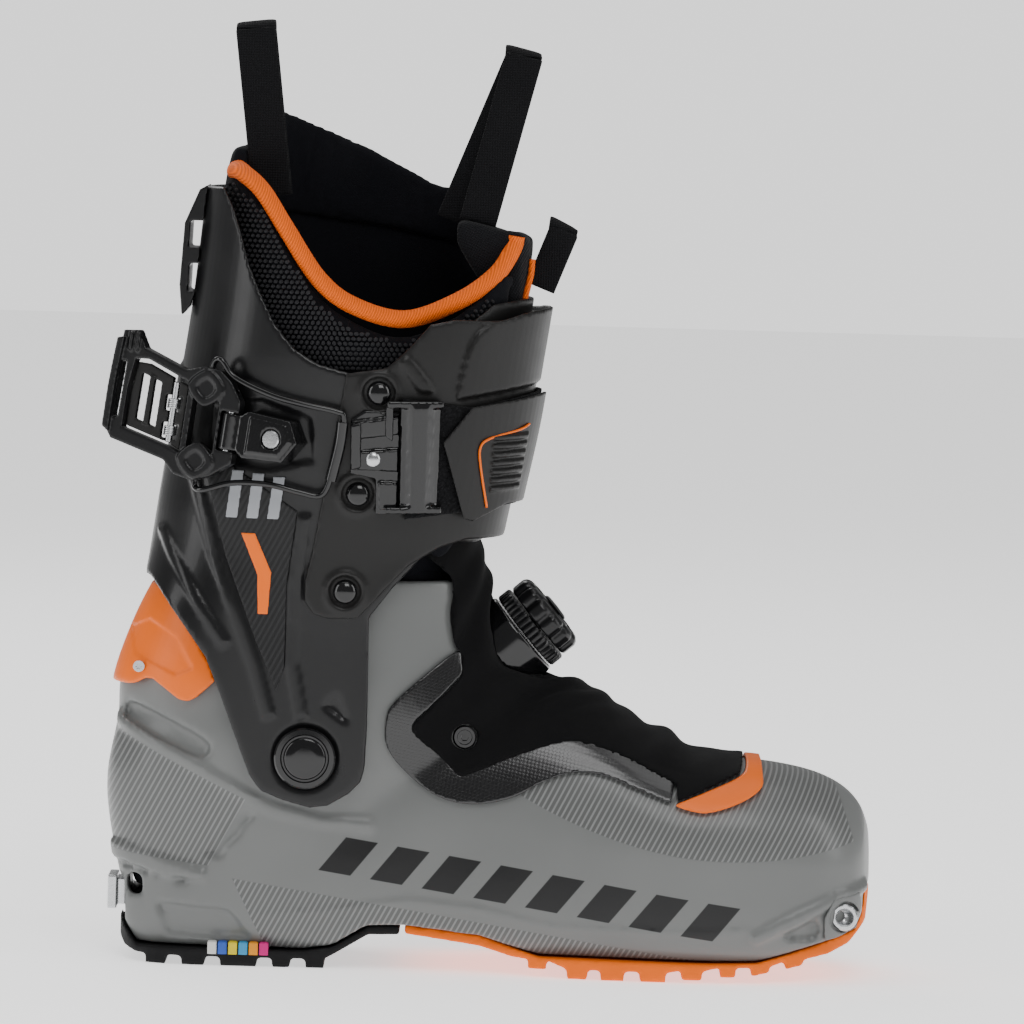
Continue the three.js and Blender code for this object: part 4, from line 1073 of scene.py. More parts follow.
for side, tag in ((-1, "outer"), (1, "inner")):
    y = side * (half_width(SHELL_ROWS, *GAITER_SCREW, 1.6))
    finish(hex_screw(GAITER_SCREW, y, side), f"gaiter_bolt_{tag}", "shell", M_GLOSS,
           [f"gaiter_screw_{tag}"], 35)

# %% [markdown]
# ## Lace dial
# A turned knob with moulded finger grips, on a ribbed ring, on a low housing.

# %% Dial
def wavy(profile, matrix, count, depth, inner, sides=216):
    """A turned piece whose outer part is notched count times round."""
    made = turned(profile, Matrix.Identity(4), sides)
    work = bmesh.new()
    work.from_mesh(made.data)
    for v in work.verts:
        r = math.hypot(v.co.x, v.co.y) / MM
        if r > inner:
            a = math.atan2(v.co.y, v.co.x)
            scale = 1 - depth * (0.5 + 0.5 * math.cos(count * a)) ** 3 / r
            v.co.x *= scale
            v.co.y *= scale
    work.to_mesh(made.data)
    work.free()
    made.data.transform(scaled(matrix))
    return made


def knob():
    body = wavy([(0, -2.6), (11.4, -2.6), (11.6, -4.2), (15.4, -4.2), (16.2, -3.6), (16.35, -2.4),
                 (16.35, 1.6), (15.6, 3.0),
                 (14.2, 3.9), (12.4, 4.2), (11.8, 3.6), (8.6, 3.6), (8.2, 4.1), (6.6, 4.3), (6.2, 3.4),
                 (0, 3.4)],
                DIAL_M, 12, 1.5, 12.9)
    scoops = []
    for k in range(6):
        a = k / 6 * 2 * math.pi
        place = DIAL_M @ Matrix.Translation((math.cos(a) * 19.6, math.sin(a) * 19.6, 0))
        scoops.append(turned([(0, -8), (4.2, -8), (4.2, 8), (0, 8)], place, 32))
    return soften(cut(body, *scoops), 0.32, 2)


finish(knob(), "dial_knob_grip", "dial_knob", M_CUFF, ["dial_knob"])
RING = [(3.6, -10.4), (16.4, -10.4), (16.9, -9.8), (16.9, -5.4), (16.3, -4.75), (3.6, -4.75)]
finish(wavy(RING, DIAL_M, 40, 0.9, 15.5, 320), "dial_ratchet_ring", "shell", M_CUFF,
       ["dial_ring"], 35)
HUB = [(0, -10), (3.2, -10), (3.2, -4.4), (11, -4.4), (11, -3.2), (3.2, -3.2), (3.2, 4.5), (5.6, 4.5),
       (5.8, 5.1), (4.8, 5.6), (0, 5.8)]
finish(turned(HUB, DIAL_M, 64), "dial_hub_cap", "dial_hub", M_GLOSS, ["dial_hub"], 30)


def dial_housing():
    body = cut(turned([(0, -24), (17.6, -24), (17.6, -12), (17, -11), (0, -11)], DIAL_M, 72),
               loft(SHELL_ROWS, 0.4))
    return soften(body, 0.6, 2)


finish(dial_housing(), "dial_housing", "shell", M_GLOSS, ["dial_base"])

# %% [markdown]
# ## Buckle
# The buckle is laid out in its own axes: x towards the lever's free end, y outwards, z along the hinge.

# %% Buckle axes
LEAN, TUCK = math.radians(7.5), math.radians(20)
HINGE = Vector((-8, -50, 207.8))
HINGE_AXIS = Vector((math.sin(LEAN), 0, math.cos(LEAN)))
ARM_AXIS = Vector((-math.cos(TUCK), math.sin(TUCK), 0))
ARM_AXIS = (ARM_AXIS - HINGE_AXIS * ARM_AXIS.dot(HINGE_AXIS)).normalized()
OUT_AXIS = HINGE_AXIS.cross(ARM_AXIS)
CROSS_PIN_X, BASE_BOLT_X = 24, -18.5
LEVER_M = Matrix.Translation(HINGE) @ Matrix((ARM_AXIS, OUT_AXIS, HINGE_AXIS)).transposed().to_4x4()


def plate(outline, y0, y1):
    made = prism(outline, y0, y1)
    made.data.transform(scaled(LEVER_M))
    return made


def pin(x, y, r, z0, z1, cap=0.25):
    profile = [(0, z0), (r - cap, z0), (r, z0 + cap), (r, z1 - cap), (r - cap, z1), (0, z1)]
    return turned(profile, LEVER_M @ Matrix.Translation((x, y, 0)), 40)


LEVER_OUTLINE = [
    (-4, 7.6), (-4, 12), (1, 19), (6, 22.6), (13, 22.8), (20, 20.5), (38, 26), (42, 32.4), (48, 31.5),
                 (49.4, 14),
    (49.6, -7), (47, -10.4), (24, -15), (19, -19.6), (11, -21), (4, -18), (-4, -12), (-4, -7.6),
                 (3.2, -7.6), (3.2, 7.6),
]


def lever_visual():
    body = plate(LEVER_OUTLINE, -2.4, 3)
    window = plate([(18, 16), (36, 22), (41.5, 21.5), (43, 10), (43, -5.5), (24, -9.4), (18, -11.4)], -9, 9)
    slit = plate([(45, 20), (47, 20), (47.6, -2), (45.4, -2)], -9, 9)
    inner = plate([(4.4, 10.5), (4.4, -9.5), (15.5, -9.5), (15.5, 10.5)], -9, 9)
    ends = [pin(x, y, r, a, b, 0.01) for x, y, r, a, b in ((0, 0, 1.75, -16, 16), (10.5, 0, 1.6, -26, 26))]
    body = cut(body, window, slit, inner, *ends)
    lugs = [plate(smooth_outline([(3, z), (10.5, z + 7), (18, z), (10.5, z - 7)], 8), 2.6,
                  3.9) for z in (15, -13)]
    wells = [plate(smooth_outline([(6.4, z), (10.5, z + 4), (14.6, z), (10.5, z - 4)], 8), 3.3,
                   6) for z in (15, -13)]
    ribs = [plate([(x, 24), (x + 1.4, 25), (x + 1.4, 31.4), (x, 31.2)], 2.6, 4.2) for x in (40.5, 43.6)]
    grip = plate([(46.8, 29), (49.6, 28.4), (50.6, 10), (50.6, -6), (47.8, -8), (47.8, 12)], -2.4, 5)
    return soften(join(cut(join(body, *lugs), *wells), *ribs, grip), 0.42, 3)


def inset_visual():
    body = plate([(18.8, 14.4), (36, 20.2), (40.7, 20.2), (42.1, 9), (42.1, -4.6), (24, -8.4),
                  (18.8, -10.4)], -1.4, 1)
    window = plate([(30, 14), (38.6, 16.4), (38.8, -1.5), (30, -3.5)], -9, 9)
    wells = [pin(CROSS_PIN_X, 0, 3.6, a, b, 0.01) for a, b in ((3.7, 9.8), (-6.8, -0.7))]
    bar = plate([(33, 15.6), (35, 16.1), (35.2, -2.6), (33, -3)], -1, 1.6)
    return soften(join(cut(body, window, pin(CROSS_PIN_X, 0, 1.7, -30, 30, 0.01), *wells), bar), 0.35, 2)


finish(lever_visual(), "buckle_lever_arm", "lever", M_CUFF, ["lever"])
finish(inset_visual(), "buckle_latch", "latch", M_FLAP, ["lever_inset"])
finish(pin(CROSS_PIN_X, 0, 1.35, -8.2, 15.2), "buckle_cross_pin", "lever", M_STEEL, ["lever_pin"],
       35)
finish(pin(0, 0, 1.4, -12.6, 12.6), "buckle_hinge_pin", "cuff", M_STEEL, ["hinge_pin"], 35)


def coil(z0, z1, turns=5, r=2.2):
    """A spring wound on the cross pin."""
    line = []
    for k in range(turns * 14 + 1):
        a = -math.pi / 2 + k / 14 * 2 * math.pi
        line.append((CROSS_PIN_X + r * math.cos(a), r * math.sin(a),
                     z0 + 0.3 + (z1 - z0 - 0.6) * k / (turns * 14)))
    return tube([tuple(LEVER_M @ Vector(p)) for p in line], 0.38, sides=8)


finish(coil(4.6, 8.9), "spring_coil_upper", "lever", M_STEEL, ["spring_upper"])
finish(coil(-5.9, -1.6), "spring_coil_lower", "lever", M_STEEL, ["spring_lower"])


def bolt_place():
    return LEVER_M @ Matrix.Translation((BASE_BOLT_X, 0, 0)) @ Matrix.Rotation(-math.pi / 2, 4, "X")


def base_visual():
    body = plate([(-29, 0), (-25, 8), (-7.5, 9), (-5, 7.1), (-5, -7.1), (-7.5, -9), (-24, -8)], -12, 2.2)
    barrel = pin(0, 0, 3.3, -7.1, 7.1)
    neck = plate([(-6, 7.1), (1.5, 7.1), (1.5, -7.1), (-6, -7.1)], -3.2, 2)
    top = plate([(-26.4, 0), (-23.6, 6), (-9, 6.8), (-9, -6.8), (-22.6, -6)], 2, 2.9)
    well = pin(0, 0, 1.7, -14, 14, 0.01)
    seat = turned([(0, 1.2), (3.9, 1.2), (3.9, 9), (0, 9)], bolt_place(), 40)
    body = cut(join(body, neck, barrel, top), well, seat, loft(CUFF_ROWS, 0.35))
    return soften(body, 0.45, 3)


def base_bolt():
    place = bolt_place()
    head = turned([(0, 1.3), (3.6, 1.3), (3.6, 2.5), (3.1, 3.1), (0, 3.2)], place, 48)
    star = []
    for i in range(48):
        a = i / 48 * 2 * math.pi
        star.append((1.75 + 0.32 * math.cos(6 * a), a))
    points = [(r * math.cos(a), r * math.sin(a)) for r, a in star]
    hole = prism(points, -4.4, -2.2)
    hole.data.transform(scaled(place @ Matrix.Rotation(math.pi / 2, 4, "X")))
    return cut(head, hole)


finish(base_visual(), "buckle_base", "cuff", M_GLOSS, ["lever_base"])
finish(base_bolt(), "buckle_bolt", "cuff", M_STEEL, ["base_screw"], 35)

# %% [markdown]
# The bail is a bent wire. Its points lie on the cuff's surface, lifted by the wire's clearance, and its ends
# enter the lever. Where it hooks the catch, it carries a roller.

# %% Bail and its roller
def local(x, y, z):
    return tuple(LEVER_M @ Vector((x, y, z)))


def over(x, z, lift=6.4):
    return (x, -half_width(CUFF_ROWS, x, z) - lift, z)


def bail_visual():
    upper = [local(10.5, 0, 17.5), local(10.5, 0, 24.2), local(7, 1.6, 26.6), over(-6, 228.5),
             over(8, 222.5), over(20, 219.5), over(33, 217),
             over(36.2, 214.5)]
    front = [over(34.6, 204), over(31, 190)]
    lower = [over(27.6, 184.6), over(20, 185.6), over(8, 188.2), over(-6, 188.2), local(6, 1.6, -23.6),
             local(10.5, 0, -22.8), local(10.5, 0, -16)]
    wire = tube(curve_points(upper + front + lower, 10), 1.15, sides=14)
    roller = tube(curve_points([over(35.6, 213), over(34.6, 204), over(31.6, 190.6)], 6), 2.3, sides=24)
    return join(wire, roller)


finish(bail_visual(), "buckle_bail_wire", "bail", M_GLOSS, ["bail"], 50)

# %% [markdown]
# ## Catch and power strap
# A pressed catch plate takes the bail. A loop-faced strap runs round the front under a pressed bar, and
# ends in a moulded tab with a ribbed grip.

# %% Catch plate and bar
def near(outline, inner, outer):
    return raised(outline, inner, outer, -90, -3, CUFF_ROWS)


def catch_visual():
    body = near([(38.6, 214), (44, 217.6), (57.6, 217), (57.6, 178), (49, 178), (48.6, 191.6),
                 (38.9, 193.4)], 3.4, 5.0)
    steps = [near([(39.4, 213), (57, 215.6), (57, 209), (39.4, 206.6)], 4.8, 6.4),
             near([(39.4, 201.4), (57, 203), (57, 194.8), (40, 195)], 4.8, 6.2),
             near([(50, 190), (57, 190), (57, 180), (50.4, 180)], 4.8, 6.0),
             near([(38.8, 212), (42.4, 213), (42.8, 196), (39.2, 195)], 4.8, 7.6)]
    return soften(join(body, *steps), 0.45, 3)


def bar_visual():
    """The strap's end is rolled over a bar; two cheeks hold the roll."""
    foot = near([(57.5, 220), (73, 220.5), (72.4, 178), (58, 180)], 6.2, 7.4)
    steps = [near([(59.4 + k, 219.4), (71.4 - k, 219.8), (70.8 - k, 179), (59.8 + k, 180.4)], 7.2,
                  8.0 + 0.8 * k) for k in range(4)]
    cheeks = [near([(52.5, b), (74.2, b + 0.4), (74, b - 2.2), (52.6, b - 2.6)], 4.8, 10) for b in (221.6,
                                                                                                    181)]
    lip = near([(52, 221), (55, 221.2), (55, 206), (52, 208)], 5.6, 8.6)
    return soften(join(foot, *steps, *cheeks, lip), 0.6, 6)


finish(catch_visual(), "catch_pressing", "cuff", M_GLOSS, ["catch_plate"])
finish(bar_visual(), "strap_bar_pressing", "cuff", M_GLOSS, ["strap_bar"])
y = -half_width(CUFF_ROWS, CATCH_RIVET[0], 199, 6.1)
finish(dome(CATCH_RIVET, 2.8, y - 0.2, -1, 1.0), "catch_rivet", "cuff", M_STEEL, (), 40)

# %% [markdown]
# The strap is hook-and-loop webbing. It is one wall outside the flap, and the moulded tab lies over its end.

# %% Power strap
def strap_visual():
    side_near = prism([(58.2, 222.5), (85, 219.5), (126, 228), (126, 180), (99, 181), (60, 176)], -90, 0.1)
    side_far = prism([(40, 221), (85, 220), (126, 228), (126, 180), (99, 181), (40, 177)], 0, 90)
    return soften(wall(CUFF_ROWS, 3.4, 5.6, join(side_near, side_far)), 0.8, 2)


TAB = [(74, 206), (84.8, 219.5), (126, 226.5), (126, 182), (99, 182), (86, 175.5), (82.5, 176.5)]


def tab_visual():
    body = raised(TAB, 5.9, 7.6, -90, -6, CUFF_ROWS)
    ribs = []
    for k in range(7):
        z = 187 + k * 3.3
        ribs.append(raised([(92.5 + 0.15 * k, z), (103.5 + k * 0.5, z + 0.6), (103.8 + k * 0.5, z + 2.2),
                            (92.6 + 0.15 * k, z + 1.6)], 7.2, 8.6, -90, -6, CUFF_ROWS))
    return soften(join(body, *ribs), 0.5, 2)


finish(strap_visual(), "power_strap_web", "cuff", M_FUZZ, ["power_strap"])
finish(tab_visual(), "power_strap_tab", "cuff", M_FLAP, ["strap_tab"])
LINE = [(106.5, 212.4), (103, 210.6), (92, 207.6), (88.2, 204), (88.6, 196), (91.2, 181)]
stripe = tube(curve_points([(x, -half_width(CUFF_ROWS, x, z, 7.6) - 0.1, z) for x, z in LINE], 6), 0.95,
              0.5, up=(0, 1, 0), sides=10)
finish(stripe, "power_strap_stripe", "cuff", M_ORANGE)
finish(soften(raised([(41, 224), (54, 224), (54, 174), (41, 174)], 6, 7.6, 0, 90, CUFF_ROWS), 0.6, 2),
       "strap_anchor_plate",
       "cuff", M_FLAP, ["strap_anchor"])

# %% [markdown]
# ## Liner
# The liner is padded. Its walls are softened until their edges are round, then puffed with a short cloth run.

# %% Liner walls
LINER_FAR_TOP = [(-30, 312), (10, 320), (49, 303), (74, 285), (98, 277), (125, 272)]
LINER_NEAR_CUT = [
    (-30, 400), (-30, 309), (-12, 307), (2, 296), (11.6, 280), (24.6, 261), (38, 251.5), (58, 246.5),
                  (80, 256),
    (99, 272), (125, 280), (125, 400),
]


def front_of(degrees):
    a = math.radians(degrees)
    return [ANKLE, (ANKLE[0] + 300, ANKLE[1] - 160), (ANKLE[0] + 300 * math.cos(a),
                                                      ANKLE[1] + 300 * math.sin(a))]


def liner_wall():
    body = wall(CUFF_ROWS, LINER_INNER, LINER_OUTER, prism([(-40, 100), *LINER_FAR_TOP, (125, 150)]))
    near_cut = prism(rounded_line(LINER_NEAR_CUT[1:-1], 4) + [(125, 400), (-30, 400)], -80, -8)
    body = cut(body, disc(ANKLE, SHAFT_SWEEP, -130, 130), near_cut, prism(front_of(56)),
               box_between((66, -21, 100), (130, 3, 400)))
    return soften(body, 1.4, 6, 90000)


def tongue_wall():
    body = wall(CUFF_ROWS, LINER_INNER, LINER_OUTER, prism([(66.5, 150), (66.5, 290), (90, 289),
                                                            (108, 284), (120, 278), (120, 150)]))
    pad = keep(loft(CUFF_ROWS, LINER_OUTER), prism([(76.6, 290.8), (76.6, 281), (88, 264), (110, 258),
                                                    (110, 282.4)]))
    body = keep(join(body, pad), box_between((60, -20.6, 100), (130, 2.6, 400)))
    return soften(cut(body, disc(ANKLE, SHAFT_SWEEP, -130, 130), prism(front_of(56))), 1.1, 6)


def collar_wall():
    outline = [(-40, 290), (-14, 322), (7, 330), (42, 316), (67, 303), (84, 300), (84, 278), (50, 284),
               (10, 290)]
    body = wall(CUFF_ROWS, -17.4, -14.4, prism(outline))
    return soften(keep(body, box_between((-40, 9, 270), (84, 80, 340))), 1.0, 6)


def foot_wall():
    body = keep(loft(SHELL_ROWS, FOOT_OUTER, 64), prism([(-70, 170), (-70, 28.5), (28, 24.5), (50, 31),
                                                         (110, 27), (190, 24),
                                                  (225, 30), (260, 44), (260, 170)]))
    hollow = keep(loft(SHELL_ROWS, FOOT_INNER, 64), prism([(-70, 170), (-70, 35), (40, 33), (110, 34),
                                                           (190, 31), (222, 36),
                                                   (224, 90), (224, 170)]))
    top = cut(box_between((-90, -60, 90), (120, 60, 200)), disc(ANKLE, FOOT_SWEEP, -130, 130))
    return soften(cut(body, hollow, top), 1.8, 4, 60000)


M_INNER = woven("liner_lining", (0.0032, 0.0034, 0.0052), 0.8, 0.12, (0.9, 0.3, 0.3), (-0.3, 0.3, 0.9),
                sheen=0.03)


def puff(obj, cap, cell, pressure=4.0, steps=20):
    """Blow a pad up a little with cloth, so that it crowns between its edges. No point moves more than
    cap mm. cell is the spacing of its points, which has to be finer than half the wall, or the wall tears."""
    remesh = obj.modifiers.new("even", "REMESH")
    remesh.mode, remesh.voxel_size = "VOXEL", cell * MM
    apply(obj)
    even = np.array([v.co[:] for v in obj.data.vertices])
    scene = bpy.context.scene
    cloth = obj.modifiers.new("cloth", "CLOTH")
    cloth.settings.use_pressure, cloth.settings.uniform_pressure_force = True, pressure
    cloth.settings.effector_weights.gravity = 0
    for frame_number in range(1, steps + 1):
        scene.frame_set(frame_number)
    held = obj.evaluated_get(bpy.context.evaluated_depsgraph_get()).data
    moved = np.array([v.co[:] for v in held.vertices]) - even
    obj.modifiers.remove(cloth)
    scene.frame_set(1)
    length = np.linalg.norm(moved, axis=1)[:, None]
    moved *= np.minimum(1, cap * MM / np.maximum(length, 1e-9))
    obj.data.vertices.foreach_set("co", (even + moved).ravel())
    smooth = obj.modifiers.new("fine", "SUBSURF")
    smooth.levels = smooth.render_levels = 1
    apply(obj)
    print("puffed:", len(even), "points, moved up to", round(float(length.max()) / MM, 1), "mm")
    return obj


shaft = finish(puff(liner_wall(), 1.6, 2.4), "liner_shaft", "cuff", M_INNER, ["liner_cuff"])
tongue_pad = finish(puff(tongue_wall(), 1.6, 2.4), "liner_tongue_pad", "cuff", M_KNIT,
                    ["liner_tongue"])
collar_pad = finish(puff(collar_wall(), 0.8, 1.4), "liner_collar_pad", "cuff", M_INNER,
                    ["liner_collar"])
foot_pad = finish(puff(foot_wall(), 0.4, 2.8), "liner_boot", "shell", M_INNER, ["liner_foot"])

# %% [markdown]
# The liner is one sock, so its lining goes on across the ankle. This thin lining is a wall just inside the
# cuff's skins, and it is not attached to any body.

# %% Lining across the ankle
def ankle_lining():
    return soften(wall(CUFF_ROWS, -17.2, -14.9, prism([(40, 138), (40, 196), (120, 196), (120, 138)])),
                  1.0, 4)


lining = finish(ankle_lining(), "ankle_lining", None, M_INNER)
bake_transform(lining)

# %% [markdown]
# A stiff board under the liner closes the bottom of the shell.

# %% Foot board
def board():
    slab = keep(loft(SHELL_ROWS, FOOT_OUTER, 64), prism([(-70, 22.4), (30, 18.4), (50, 25.4), (110, 20.4),
                                                         (190, 17.4), (203, 20.1),
                                                   (203, 23.4), (190, 23.6), (110, 26.6), (50, 30.6),
                                                         (28, 24.1), (-70, 28.1)]))
    return soften(slab, 1.6, 2, 40000)


finish(board(), "foot_board", "shell", M_CUFF, ["boot_board"])

# %% [markdown]
# The outer face of the liner, between the binding and the cuff, is a coarse knitted mesh. One knot is built
# once and repeated over the surface.

# %% Knitted mesh
def net_points():
    """Rows of knots on the liner's outer face: a place and an outward direction for each."""
    places, outs = [], []
    for row, z in enumerate(np.arange(233, 303, 1.9)):
        for x in np.arange(-18, 94, 2.1) + (row % 2) * 1.05:
            top = np.interp(x, [p[0] for p in LINER_NEAR_CUT[2:-2]], [p[1] for p in LINER_NEAR_CUT[2:-2]])
            if z > top - 3.5 or x > 92:
                continue
            w = half_width(CUFF_ROWS, x, z, LINER_OUTER)
            w2 = half_width(CUFF_ROWS, x + 1, z, LINER_OUTER)
            if not w > 9:
                continue
            places.append((x * MM, -(w + 1.7) * MM, z * MM))
            outs.append((-(w - w2), -1.0, 0.08))
    return places, outs


def knot():
    """One loop of the knit: a short fat bead, wider than it is tall."""
    bead = turned([(0, -0.75), (0.45, -0.62), (0.78, 0), (0.45, 0.62), (0, 0.75)],
                  Matrix.Rotation(math.pi / 2, 4, "Y"), 8)
    bead.data.transform(Matrix.Diagonal((1, 0.7, 0.8, 1)))
    return bead


def repeat(name, places, outs, piece, made, size=1.0):
    """Put a copy of piece at each place with Geometry Nodes, and turn the result into a plain mesh."""
    base = bpy.data.objects.new(name + "_points", bpy.data.meshes.new(name + "_points"))
    base.data.from_pydata(places, [], [])
    out = base.data.attributes.new("out", "FLOAT_VECTOR", "POINT")
    out.data.foreach_set("vector", np.array(outs, float).ravel())
    bpy.context.scene.collection.objects.link(base)
    tree = bpy.data.node_groups.new(name, "GeometryNodeTree")
    tree.interface.new_socket("Geometry", in_out="INPUT", socket_type="NodeSocketGeometry")
    scale = tree.interface.new_socket("Size", in_out="INPUT", socket_type="NodeSocketFloat")
    scale.default_value = size
    tree.interface.new_socket("Geometry", in_out="OUTPUT", socket_type="NodeSocketGeometry")
    nodes, link = tree.nodes, tree.links.new
    group_in, group_out = nodes.new("NodeGroupInput"), nodes.new("NodeGroupOutput")
    source = nodes.new("GeometryNodeObjectInfo")
    source.inputs["Object"].default_value = piece
    named = nodes.new("GeometryNodeInputNamedAttribute")
    named.data_type = "FLOAT_VECTOR"
    named.inputs["Name"].default_value = "out"
    align = nodes.new("FunctionNodeAlignEulerToVector")
    align.axis = "Y"
    instance = nodes.new("GeometryNodeInstanceOnPoints")
    real, paint = nodes.new("GeometryNodeRealizeInstances"), nodes.new("GeometryNodeSetMaterial")
    paint.inputs["Material"].default_value = made
    link(group_in.outputs["Geometry"], instance.inputs["Points"])
    link(source.outputs["Geometry"], instance.inputs["Instance"])
    link(named.outputs[0], align.inputs["Vector"])
    link(align.outputs[0], instance.inputs["Rotation"])
    link(group_in.outputs["Size"], instance.inputs["Scale"])
    link(instance.outputs[0], real.inputs[0])
    link(real.outputs[0], paint.inputs[0])
    link(paint.outputs[0], group_out.inputs[0])
    modifier = base.modifiers.new(name, "NODES")
    modifier.node_group = tree
    modifier[scale.identifier] = size
    mesh = bpy.data.meshes.new_from_object(base.evaluated_get(bpy.context.evaluated_depsgraph_get()))
    base.modifiers.clear()
    bpy.data.objects.remove(base)
    bpy.data.objects.remove(piece)
    made_object = bpy.data.objects.new(name, mesh)
    bpy.context.scene.collection.objects.link(made_object)
    print(name + ":", len(places), "copies")
    return made_object


M_KNOT = woven("knit_yarn", (0.022, 0.022, 0.024), 0.5, 0.1, (0.9, 0.3, 0.3), (-0.3, 0.3, 0.9), sheen=0.05)
places, outs = net_points()
net = repeat("liner_net", places, outs, knot(), M_KNOT, 1.25)
finish(net, "liner_net", "cuff", M_KNOT, (), 60)

# %% [markdown]
# A ribbed orange binding folds over the liner's edge. It is a flattened tube along the edge, with a row of
# stitches repeated along it.

# %% Binding along the liner's outer edge
BINDING = [(-10, 304.5), (-6, 303.4), (2, 297), (11.6, 283), (24.6, 264.4), (38, 254.6), (58, 249.8),
           (78, 257), (92, 267), (98.5, 277), (99.6, 282)]
binding_line = []
for x, z in curve_points(BINDING, 8):
    binding_line.append((x, -half_width(CUFF_ROWS, x, z, -10.6), z + 2.4))
seam = []
for x, y, z in curve_points(binding_line, 2)[8:-8:3]:
    seam.append((x * MM, (y - 3.5) * MM, (z - 0.6) * MM))
M_SEAM = rubber("binding_seam", (0.45, 0.03, 0.001))
stitches = repeat("binding_stitches", seam, [(0, -1, 0)] * len(seam), knot(), M_SEAM, 0.62)
finish(stitches, "binding_stitches", "cuff", M_SEAM, (), 60)
finish(tube(binding_line, 4.2, 3.4, up=(0, 1, 0.15), sides=20), "liner_binding", "cuff", M_BINDING,
       ["liner_piping"])

edge_line = curve_points([(106.2, -12.5, 275.5), (105.8, -13, 270), (104.8, -13.5, 265),
                          (103.6, -14, 260)], 6)
finish(tube(edge_line, 1.5, 1.2, up=(0, 1, 0), sides=14), "tongue_edge", "cuff", M_BINDING)
FLAG = [(67, 288.5), (75, 290.5), (74, 296), (70.5, 297.5)]
finish(soften(keep(wall(CUFF_ROWS, -17.2, -13.6, prism(FLAG)), box_between((50, 3, 200), (100, 90, 330))),
              0.4, 2),
       "tongue_flag", "cuff", M_BINDING)

# %% [markdown]
# Each loop is one strip of webbing, folded at the top. It is modelled directly along its path, because short
# stiff webbing holds its own shape.

# %% Pull loops
def ribbon(path, across, width, thick=1.5, corner=5.0, sides=20):
    """A flat woven strip: path is its centre line, across the direction of its width."""
    line = np.array(path, float)
    tangent = np.gradient(line, axis=0)
    tangent /= np.linalg.norm(tangent, axis=1)[:, None]
    rings = []
    for p, t in zip(line, tangent):
        side = np.array(across, float)
        side = side - t * side.dot(t)
        side /= np.linalg.norm(side)
        up = np.cross(side, t)
        a = np.arange(sides) / sides * 2 * math.pi
        u = np.sign(np.cos(a)) * np.abs(np.cos(a)) ** (2 / corner) * width / 2
        v = np.sign(np.sin(a)) * np.abs(np.sin(a)) ** (2 / 2.5) * thick / 2
        rings.append(p + np.outer(u, side) + np.outer(v, up))
    n = len(rings)
    faces = [(i * sides + j, i * sides + (j + 1) % sides, (i + 1) * sides + (j + 1) % sides,
              (i + 1) * sides + j)
             for i in range(n - 1) for j in range(sides)]
    faces += [tuple(range(sides)), tuple(range((n - 1) * sides, n * sides))]
    return face_out(mesh_object("ribbon", np.vstack(rings), faces))


def loop_path(foot, tip, y, half, slip=0.0):
    """Up one ply, over the fold and down the other, whose foot is slip further back."""
    foot, tip = np.array(foot, float), np.array(tip, float)
    rise = tip - foot
    line = []
    for t in np.linspace(0, 1, 12):
        p = foot + rise * t
        line.append((p[0], y - half + 0.6 * math.sin(t * 5), p[1]))
    for a in np.linspace(0.15, math.pi - 0.15, 9):
        line.append((tip[0], y - half * math.cos(a), tip[1] + 3.4 * math.sin(a)))
    for t in np.linspace(1, 0, 12):
        p = foot + rise * t
        line.append((p[0] - slip * (1 - t), y + half - 0.6 * math.sin(t * 5), p[1]))
    return line


finish(ribbon(curve_points(loop_path((4.6, 297), (-3.2, 360.6), 0, 6.6), 3), (1, 0, 0.12), 15.2),
       "rear_loop_web", "cuff",
       M_WEB, ["rear_loop"])
finish(ribbon(curve_points(loop_path((84.6, 289), (100.6, 352.6), -8, 5.2, 9), 3), (1, 0, -0.24), 14.4),
       "front_loop_web", "cuff",
       M_WEB, ["front_loop"])
finish(ribbon(curve_points(loop_path((109.5, 264.5), (117.8, 286), -8, 3.8), 3), (1, 0, -0.5), 11.5),
       "tab_loop_web", "cuff",
       M_WEB, ["tab_loop"])

# %% [markdown]
# The boot stands on a plain pale floor. Five soft panels light it, and the backdrop is lifted only for the
# camera, so that it doesn't flatten the dark plastic with more light.

# %% Stage, light and camera
BACKDROP, WORLD_LIGHT = 1.15, 0.25


def floor():
    made = mesh_object("floor", [(-6000, -6000, -0.2), (6000, -6000, -0.2), (6000, 6000, -0.2),
                                 (-6000, 6000, -0.2)], [(0, 1, 2, 3)])
    paint = material("floor_paint", (0.93, 0.93, 0.93), 0.75)
    glow = paint.node_tree.nodes["Principled BSDF"]
    glow.inputs["Emission Color"].default_value = (1, 1, 1, 1)
    glow.inputs["Emission Strength"].default_value = 1.0
    made.data.materials.append(paint)


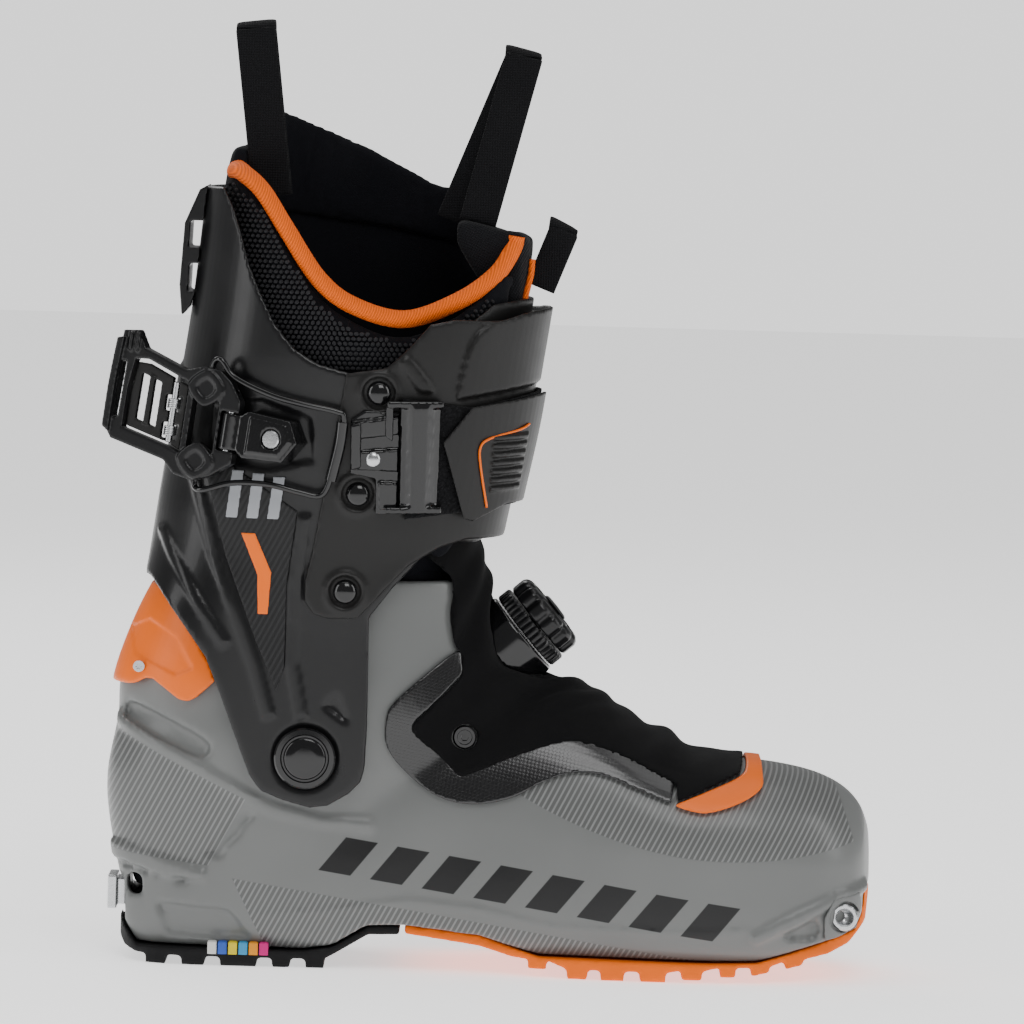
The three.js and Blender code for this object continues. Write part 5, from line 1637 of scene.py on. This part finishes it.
def area_light(name, place, aim, size, power):
    data = bpy.data.lights.new(name, "AREA")
    data.shape, data.size, data.size_y, data.energy = "RECTANGLE", size[0], size[1], power
    lamp = bpy.data.objects.new(name, data)
    lamp.location = place
    lamp.rotation_euler = (Vector(aim) - Vector(place)).to_track_quat("-Z", "Y").to_euler()
    bpy.context.scene.collection.objects.link(lamp)


floor()
area_light("key", (0.4, -1.3, 1.6), (0.1, 0, 0.15), (0.9, 0.9), 12)
area_light("fill", (-1.4, -0.6, 0.7), (0.05, 0, 0.2), (0.5, 1.4), 7)
area_light("rim", (-0.6, 1.4, 1.2), (0.1, 0, 0.2), (1.2, 0.8), 8)
area_light("side", (1.5, -0.5, 0.8), (0.15, 0, 0.15), (0.4, 1.3), 6)
area_light("top", (0.1, 0.1, 1.9), (0.1, 0, 0), (1.4, 1.4), 9)
world = bpy.data.worlds.new("studio")
world.use_nodes = True
world.node_tree.nodes["Background"].inputs["Color"].default_value = (1, 1, 1, 1)
seen = world.node_tree.nodes.new("ShaderNodeLightPath").outputs["Is Camera Ray"]
lift = world.node_tree.nodes.new("ShaderNodeMath")
lift.operation = "MULTIPLY_ADD"
world.node_tree.links.new(seen, lift.inputs[0])
lift.inputs[1].default_value, lift.inputs[2].default_value = BACKDROP, WORLD_LIGHT
world.node_tree.links.new(lift.outputs[0], world.node_tree.nodes["Background"].inputs["Strength"])
bpy.context.scene.world = world

TARGET = Vector((0.101, 0.0, 0.1765))
DISTANCE, ELEVATION, ROLL = 2.6, math.radians(4), math.radians(1.6)
camera_data = bpy.data.cameras.new("camera")
camera_data.sensor_width, camera_data.lens = 36, 36 * DISTANCE / 0.399
camera = bpy.data.objects.new("camera", camera_data)
camera.location = TARGET + Vector((0, -DISTANCE * math.cos(ELEVATION), DISTANCE * math.sin(ELEVATION)))
look = (TARGET - camera.location).to_track_quat("-Z", "Y").to_matrix().to_4x4()
camera.matrix_world = Matrix.Translation(camera.location) @ look @ Matrix.Rotation(ROLL, 4, "Z")
bpy.context.scene.collection.objects.link(camera)
bpy.context.scene.camera = camera
print("lens:", round(camera_data.lens, 1))
